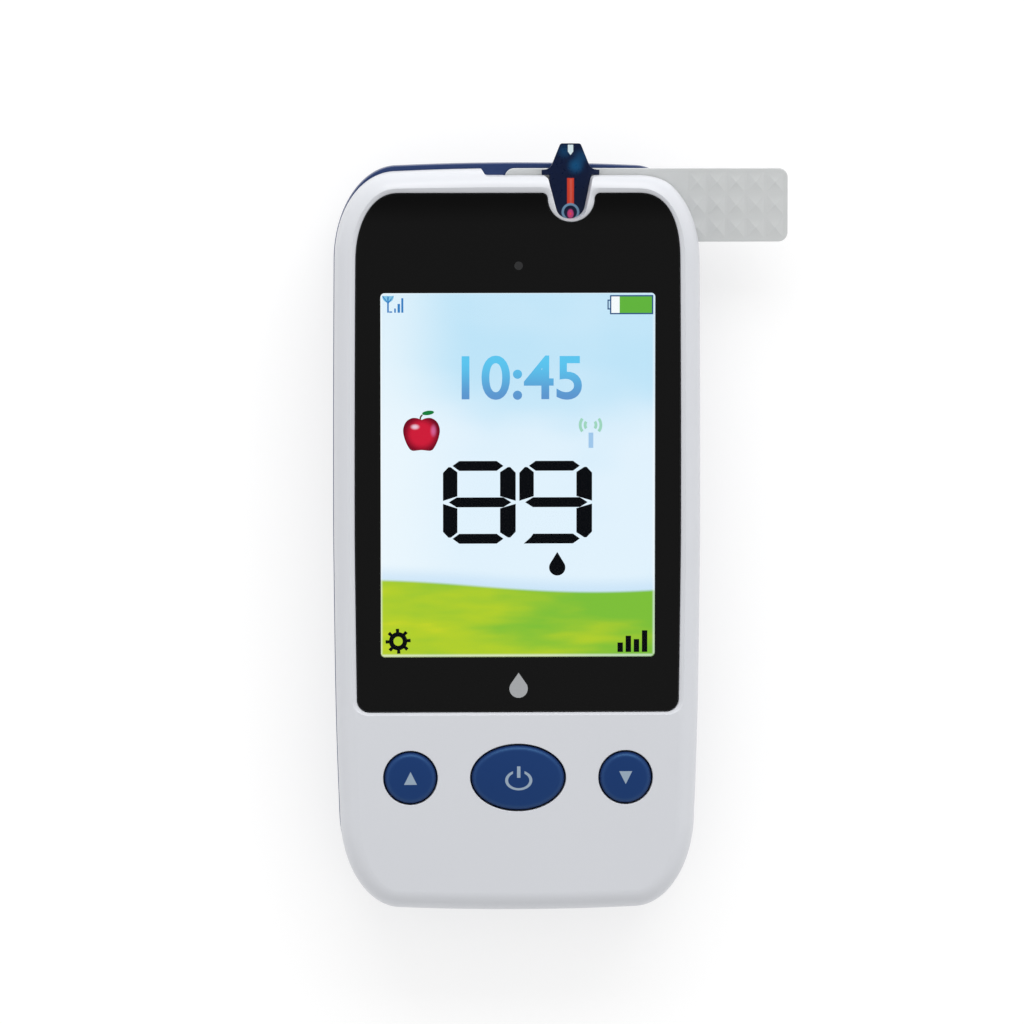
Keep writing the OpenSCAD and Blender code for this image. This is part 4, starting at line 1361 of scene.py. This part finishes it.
def power_key():
    """The oval key, stacked from outlines."""
    low, high = key_boxes["power_button"]
    centre = middle(low, high)
    w, l = high.x - low.x - 2 * key_flange, high.y - low.y - 2 * key_flange
    rings = [(key_flange, flange_z), (key_flange, flange_top), (0, flange_top)]
    rings += [(r - l / 2, z) for r, z in cap_profile(l / 2, 0.2)[:-1]]
    outlines = [oval(centre, w + 2 * grow, l + 2 * grow) for grow, _ in rings]
    cap = skin("power_key", outlines, [z for _, z in rings])
    join(cap, post(centre, 2.4, low.z, flange_z + 0.1))
    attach(smooth(cap), "power_key")
    paint(cap, key_finish("power_key", centre, power_sign))
    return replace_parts(cap, "power_button")


round_key("up_key", "up_button", "up_key", triangle(1))
round_key("down_key", "down_button", "down_key", triangle(-1))
power = power_key()
print(f"three keys, the oval one with {len(power.data.polygons)} faces")

# %% [markdown]
# ## Test strip
# A strip is a laminate of printed films, stamped out in one stroke, so it is a flat plate with
# a crisp outline. Its wings stop it at the port. Its marks are print, apart from soft teal blots
# of painted sheen, and all stay in the shader, measured from the middle of the strip.

# %% Strip print and painted sheen
strip_film = moulded("strip_film", linear(8, 22, 52), 0.3, grain=0.4, depth=0.001, uneven=0.07,
                     Specular_IOR_Level=0.3)
sx, sy, sz = strip_film.place()
sx, sy = sx - port_x, strip_high.y - sy  # sy runs down from the tip
shield = in_block(sx, sy - 1.1, 0.4, 0.9).at_most(1.72 - sy - sx.size() * 1.3)
ring_r = reach(sx, sy - 10.1)
bead_y = sy - 10.35
bead = 0.45 - (sx * sx + bead_y * bead_y * 0.45).root()
# painted teal sheen in soft blots: x, y, radius and how strong
painted_sheen_blots = ((0.75, 3.3, 1.6, 0.75), (1.5, 2.0, 1.5, 0.4), (-0.9, 1.2, 1.4, 0.35))
# the painted sheen blots come first, and the print goes over them
print_and_sheen = [(reach(sx - x, sy - y).between(radius, 0.1) * share, (14, 82, 128))
          for x, y, radius, share in painted_sheen_blots]
print_and_sheen += [
    (edge_mask(shield), (206, 222, 226)),
    (edge_mask(in_block(sx, sy - 7.1, 0.5, 2.0), 0.12), (206, 62, 40)),
    (edge_mask(in_block(sx - 0.05, sy - 7.15, 0.16, 1.9), 0.3) * 0.35, (214, 120, 110)),
    (edge_mask(1.3 - ring_r), (12, 24, 52)),
    (edge_mask(0.17 - (ring_r - 1.14).size(), 0.1) * 0.8, (122, 160, 190)),
    (edge_mask(bead, 0.2), (196, 66, 122)),
    (edge_mask(bead - 0.3, 0.12), (232, 74, 84)),
]
shade = strip_film.base
for mask, colour in print_and_sheen:
    shade = strip_film.blend(mask, shade, linear(*colour))
# the top face carries both the print and the painted sheen
printed = sz.between(strip_low.z + 0.3, strip_low.z + 0.35)
strip_film.set(Base_Color=strip_film.blend(printed, strip_film.base, shade))
print(f"{len(print_and_sheen)} prints on the strip")


# %% Strip outline
def strip_half():
    """Right side of the strip from its inner end to its tip."""
    half, wing = 3.1, (strip_high.x - strip_low.x) / 2
    stop_y, wing_l, shoulder, tip_r = step_y + 0.05, 0.75, 1.4, 0.45
    inner = [(half - 0.5, strip_low.y), (half, strip_low.y + 0.5), (half, stop_y)]
    stop = [(wing, stop_y), (wing, stop_y + wing_l)]
    neck = arc((wing - 0.25, stop_y + wing_l + shoulder), (shoulder, shoulder), 270, -66, 12)
    tip = arc((1.18, strip_high.y - tip_r), (tip_r, tip_r), 24, 60, 8)
    return inner + stop + neck + tip


half_outline = strip_half()
outline = [(port_x + x, y) for x, y in half_outline]
outline += [(port_x - x, y) for x, y in half_outline[::-1]]
strip = prism("test_strip_film", outline, strip_low.z, strip_high.z)
paint(smooth(soften(strip, 0.05, angle=50)), strip_film)
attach(strip, "strip")
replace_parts(strip, "test_strip")
print(f"strip: {len(strip.data.polygons)} faces")

# %% [markdown]
# ## Pull tab
# The tab is a milky sheet that lies between the battery contact and its cell until the owner
# pulls it out. Rows of small pyramids give the fingers hold. They repeat on a grid, so one
# pyramid is instanced by Geometry Nodes.

# %% Milky sheet with raised points
milky = moulded("milky_sheet", linear(194, 196, 196), 0.34, grain=0.8, depth=0.006, uneven=0.02,
                Subsurface_Weight=0.25, Subsurface_Radius=(0.002, 0.002, 0.002))
point_h = 0.25
sheet_top = tab_high.z - point_h


def tab_points(material):
    """A grid of four-sided points on the end of the tab."""
    tree = Tree("tab_points")
    columns, rows = tree.value("Columns", 5), tree.value("Rows", 3)
    pitch_x, pitch_y = tree.value("Pitch X", 2.87 * MM), tree.value("Pitch Y", 3.35 * MM)
    rise = tree.value("Height", point_h * MM)
    grid = tree.add("GeometryNodeMeshGrid", Vertices_X=columns, Vertices_Y=rows,
                    Size_X=tree.times(pitch_x, tree.sum(columns, -1.0)),
                    Size_Y=tree.times(pitch_y, tree.sum(rows, -1.0)))
    centre = tree.vector(tree.sum(tab_high.x * MM, -1.9 * MM, tree.times(pitch_x, -2.0)),
                         (tab_low.y + tab_high.y) / 2 * MM, sheet_top * MM)
    placed = tree.add("GeometryNodeTransform", Geometry=grid, Translation=centre)
    point = tree.add("GeometryNodeMeshCone", Vertices=4, Radius_Top=0.05 * MM,
                     Radius_Bottom=0.62 * MM, Depth=rise)
    square_on = tree.add("GeometryNodeTransform", Geometry=point, Rotation=(0, 0, pi / 4))
    size = tree.vector(tree.times(pitch_x, 1 / MM), tree.times(pitch_y, 1 / MM), 1.0)
    points = tree.add("GeometryNodeInstanceOnPoints", Points=placed, Instance=square_on,
                      Scale=size)
    return tree.build("tab_points", points, tree.value("Material", material))


tab_w, tab_l = tab_high.x - tab_low.x, tab_high.y - tab_low.y
tab_outline = rounded(middle(tab_low, tab_high), tab_w, tab_l, 1.4)
tab_sheet = prism("pull_tab_sheet", tab_outline, tab_low.z, sheet_top)
soften(tab_sheet, 0.12, angle=50)
bumps = tab_points(milky.material)
for vertex in bumps.data.vertices:
    vertex.co.z -= 0.001 * MM  # a hair into the sheet, so that the two solids join
join(tab_sheet, bumps)
paint(smooth(tab_sheet, 12), milky)
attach(tab_sheet, "tab")
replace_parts(tab_sheet, "pull_tab")
print(f"pull tab: {len(tab_sheet.data.polygons)} faces")

# %% [markdown]
# ## Case screws
# Four small screws with cross recesses sit deep in their holes in the back. One is made, and
# Geometry Nodes put a copy on each of the four places.


# %% Screws
def metal(name, colour, roughness, grain=0.25, stretch=(1, 1, 1), uneven=0.12):
    """Metal whose shine is broken up by fine marks."""
    finish = Finish(name, colour, roughness, Metallic=1.0)
    cloud, marks = finish.noise(5, 3.0), finish.noise(grain, 3.0, stretch)
    light, dark = scaled(colour, 1 + uneven), scaled(colour, 1 - uneven)
    finish.set(
        Base_Color=finish.blend(cloud * 0.5 + marks * 0.5, dark, light),
        Roughness=(cloud - 0.5) * 0.15 + (marks - 0.5) * 0.25 + roughness,
    )
    return finish.bump(marks, 0.003)


black_steel = metal("black_steel", linear(92, 92, 96), 0.38)
screw_low, screw_high = size_of("case_screws")
head_r, head_h, shank_r = 1.75, 1.4, 0.95
screw_seat = screw_low.z + head_h


def one_screw():
    """A screw at the middle of its head's seat, with a pan head and a cross recess."""
    head = [(head_r * sin(t), -head_h + 0.5 * (1 - cos(t))) for t in quarter(8)]
    tip = screw_high.z - screw_seat
    profile = head + [(head_r, 0), (shank_r, 0), (shank_r, tip - 0.4), (0, tip)]
    screw = turned("screw", (0, 0), profile, 48)
    slots = [box("slot", (-x, -y, -2), (x, y, -0.75)) for x, y in ((1.1, 0.22), (0.22, 1.1))]
    return cut(screw, *slots)


def screw_set(screw, material):
    """The four screws as one piece."""
    tree = Tree("case_screws")
    pattern = tree.value("Screw", screw)
    across = tree.value("Across", 2 * screw_x * MM)
    along = tree.value("Along", (screw_top_y - screw_low_y) * MM)
    grid = tree.add("GeometryNodeMeshGrid", Size_X=across, Size_Y=along, Vertices_X=2, Vertices_Y=2)
    centre = tree.vector(0, (screw_top_y + screw_low_y) / 2 * MM, screw_seat * MM)
    places = tree.add("GeometryNodeTransform", Geometry=grid, Translation=centre)
    shape = tree.add("GeometryNodeObjectInfo", Object=pattern)
    shape = shape.node.outputs["Geometry"]
    screws = tree.add("GeometryNodeInstanceOnPoints", Points=places, Instance=shape)
    return tree.build("case_screw_set", screws, tree.value("Material", material))


pattern_screw = one_screw()
screws = screw_set(pattern_screw, black_steel.material)
bpy.data.objects.remove(pattern_screw)
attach(smooth(screws), "case")
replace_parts(screws, "case_screws")
print(f"four screws: {len(screws.data.polygons)} faces")

# %% [markdown]
# ## Finishes of the pieces inside
# The pieces under the shells keep their CAD shapes. They come into view when the door or the
# case is open, so each still gets the finish of its real material: solder mask with tracks,
# gold, tin, film, foam and ceramic. The tracks on the board are a brick pattern's joints.


# %% Circuit board
def board_mask():
    """Green mask over copper tracks, with gold vias."""
    finish = Finish("board_mask", linear(18, 74, 44), 0.35)
    coords = finish.node("ShaderNodeTexCoord", {}, output="Object")
    flat = finish.node("ShaderNodeVectorMath", {"operation": "MULTIPLY"}, coords,
                       (1 / MM, 1 / MM, 0))
    # after the place: two brick colours and the joint's, scale, joint and its blur, bias, then
    # a brick's width and height
    layout = {"offset": 0.37, "squash": 0.6, "squash_frequency": 3}
    bricks = finish.node("ShaderNodeTexBrick", layout, flat, (0, 0, 0), (0, 0, 0), (1, 1, 1),
                         1.0, 0.14, 0.2, 0.0, 3.1, 1.3)
    cells = finish.node("ShaderNodeTexVoronoi", {"voronoi_dimensions": "2D"}, flat, 0.42)
    vias = cells.between(0.14, 0.12)
    colour = finish.blend(bricks, linear(18, 74, 44), linear(30, 104, 58))
    cloud = finish.noise(9, 2.0)
    colour = finish.blend(cloud * 0.3, colour, linear(12, 56, 36))
    finish.set(Base_Color=finish.blend(vias, colour, linear(206, 168, 92)), Metallic=vias * 0.9)
    return finish.bump(bricks, 0.02)


board = board_mask()
gold = metal("gold_plate", linear(214, 172, 92), 0.25, uneven=0.06)
tin = metal("tin_plate", linear(196, 197, 199), 0.3, grain=0.4, stretch=(6, 1, 1), uneven=0.06)
spring = metal("spring_steel", linear(186, 182, 170), 0.22, grain=0.2)
print(f"board mask with {len(board.tree.nodes)} nodes, and three metals")


# %% Films, wrap and card
def place_on(finish, node):
    """Corners of a CAD node, then x and y from its middle, and z, for a finish on it."""
    low, high = size_of(node)
    centre = middle(low, high)
    x, y, z = finish.place()
    return low, high, x - centre[0], y - centre[1], z


def film_finish():
    """Amber film with rows of copper lines under it."""
    finish = Finish("flex_film", linear(188, 112, 44), 0.3)
    x, _, _ = finish.place()
    lines = x.math("PINGPONG", 0.35).between(0.17, 0.21)
    cloud = finish.noise(3, 2.0)
    colour = finish.blend(lines, linear(178, 98, 36), linear(206, 136, 66))
    return finish.set(Base_Color=finish.blend(cloud * 0.3, colour, linear(150, 80, 28)))


def wrap_finish():
    """Dark shrink wrap with a bare grey label on the side towards the door."""
    finish = moulded("battery_wrap", linear(52, 54, 60), 0.3, grain=2.5, depth=0.05, uneven=0.12)
    low, _, x, y, z = place_on(finish, "battery_pack")
    mask = edge_mask(in_block(x, y, 11, 16), 0.15) * z.between(low.z + 0.3, low.z + 0.2)
    return finish.set(Base_Color=finish.blend(mask, finish.base, linear(176, 178, 182)))


def card_finish():
    """White card with a gold contact field."""
    finish = moulded("sim_card", linear(232, 232, 230), 0.4, uneven=0.03)
    _, high, x, y, z = place_on(finish, "sim_card")
    pads = edge_mask(in_block(x, y, 5.0, 4.0), 0.1) * z.between(high.z - 0.2, high.z - 0.1)
    for across, pitch in ((x, 1.7), (y, 1.35)):
        pads = pads * across.math("PINGPONG", pitch).between(0.05, 0.12)
    colour = finish.blend(pads, finish.base, linear(212, 176, 104))
    return finish.set(Base_Color=colour, Metallic=pads * 0.9)


# %% Chip and ceramic, and who wears what
def chip_finish():
    """Black chip with a dot at its first pin."""
    low, high = size_of("processor")
    finish = moulded("chip_black", linear(30, 30, 32), 0.5, grain=0.2, depth=0.01, uneven=0.2)
    x, y, _ = finish.place()
    dot = edge_mask(0.4 - reach(x - low.x - 1.2, y - high.y + 1.2))
    return finish.set(Base_Color=finish.blend(dot, finish.base, linear(120, 120, 122)))


def ceramic_finish():
    """Ceramic block with silvered ends."""
    finish = moulded("ceramic", linear(216, 206, 184), 0.5, grain=0.3, uneven=0.08)
    low, high, x, _, _ = place_on(finish, "antenna")
    half = (high.x - low.x) / 2
    ends = x.size().between(half - 1.05, half - 0.95)
    colour = finish.blend(ends, finish.base, linear(190, 192, 195))
    return finish.set(Base_Color=colour, Metallic=ends * 0.9)


clear_plastic = Finish("clear_plastic", (0.95, 0.96, 0.97), 0.1, IOR=1.49, Transmission_Weight=1.0)
clear_plastic.set(Roughness=clear_plastic.noise(0.5, 2.0) * 0.1 + 0.06)
finishes = {
    board: ["main_board"],
    gold: ["strip_contacts", "cell_contact", "battery_contacts"],
    tin: ["modem_shield", "sim_holder", "usb_socket", "backup_cell", "display_frame"],
    spring: ["up_dome", "power_dome", "down_dome"],
    black_nylon: ["strip_connector", "buzzer", "light_sensor"],
    black_steel: ["board_screws"],
    foam: ["lens_gasket"],
    film_finish(): ["display_flex"],
    wrap_finish(): ["battery_pack"],
    card_finish(): ["sim_card"],
    chip_finish(): ["processor"],
    ceramic_finish(): ["antenna"],
    clear_plastic: ["light_pipe"],
}
for finish, names in finishes.items():
    for name in names:
        paint(nodes[name], finish)
print(f"{sum(len(names) for names in finishes.values())} CAD nodes dressed")

# %% [markdown]
# ## Studio
# A product picture wants a plain white ground and soft light that still shows which way each
# surface leans. The room is white at eye level and darker overhead, because the lens mirrors
# what is above it. One large lamp beyond the strip end, fairly low, makes the edges on that
# side brighter and those near the keys darker. The floor shows whiter to the camera than it
# is, and shadows still fall on it.

# %% Floor
REAL_GREY, SEEN_GREY, SEEN_GLOW = (0.82,) * 3, (0.33,) * 3, (0.69,) * 3
floor_white = Finish("floor_white", REAL_GREY, 0.9, Emission_Strength=1.0)
seen, mirrored, through = (
    floor_white.node("ShaderNodeLightPath", {}, output=f"Is {kind} Ray")
    for kind in ("Camera", "Glossy", "Transmission")
)
lifted = seen.at_least(mirrored).at_least(through)
floor_white.set(
    Base_Color=floor_white.blend(lifted, REAL_GREY, SEEN_GREY),
    Emission_Color=floor_white.blend(lifted, (0, 0, 0), SEEN_GLOW),
)
FLOOR = 2500  # half its width
floor = box("floor", (-FLOOR, -FLOOR, -5), (FLOOR, FLOOR, 0))
paint(floor, floor_white)
print(f"floor: {2 * FLOOR * MM:.0f} m wide")

# %% Room and lamp
DIM_FROM = 0.68  # the sine of the angle above the horizon where the room starts to dim


def room(horizon, overhead):
    """A world that is bright all round and dims towards the point overhead."""
    world = bpy.data.worlds.new("room")
    world.use_nodes = True
    tree = world.node_tree
    coords = tree.nodes.new("ShaderNodeTexCoord")
    split = tree.nodes.new("ShaderNodeSeparateXYZ")
    rise = tree.nodes.new("ShaderNodeMapRange")
    ends = {"From Min": DIM_FROM, "From Max": 1.0, "To Min": horizon, "To Max": overhead}
    for name, value in ends.items():
        rise.inputs[name].default_value = value
    tree.links.new(coords.outputs["Generated"], split.inputs[0])
    tree.links.new(split.outputs["Z"], rise.inputs["Value"])
    tree.links.new(rise.outputs[0], tree.nodes["Background"].inputs["Strength"])
    tree.nodes["Background"].inputs["Color"].default_value = (1, 1, 1, 1)
    scene.world = world


def lamp(name, turn, rise, distance, size, power):
    """A rectangular lamp that points at the object. Turn is measured from +X."""
    data = bpy.data.lights.new(name, "AREA")
    data.shape = "RECTANGLE"
    data.size, data.size_y = size
    data.energy = power
    made = add_object(name, data)
    turn, rise = radians(turn), radians(rise)
    made.location = Vector((cos(turn) * cos(rise), sin(turn) * cos(rise), sin(rise))) * distance
    made.rotation_euler = made.location.to_track_quat("Z", "Y").to_euler()


room(horizon=1.0, overhead=0.12)
lamp("strip_end_lamp", turn=84, rise=36, distance=1.0, size=(1.1, 0.5), power=6.5)
print("a room and one lamp")


# %% Camera
def camera_at(aim, tilt_x, tilt_y, distance, lens):
    """A camera that looks down at the object with +Y up in the picture."""
    data = bpy.data.cameras.new("camera")
    data.lens, data.sensor_width = lens, 36
    made = add_object("camera", data)
    away = Vector((tilt_x, tilt_y, 1)).normalized()
    right = Vector((0, 1, 0)).cross(away).normalized()
    made.location = Vector(aim) * MM + distance * away
    made.rotation_euler = Matrix((right, away.cross(right), away)).transposed().to_euler()
    scene.camera = made


camera_at(aim=(-0.6, 3.5, 9), tilt_x=-sin(radians(1.9)), tilt_y=sin(radians(5.0)),
          distance=0.99, lens=235)
scene.view_settings.view_transform = "Standard"
print(f"camera {scene.camera.location.z:.2f} m above the floor")
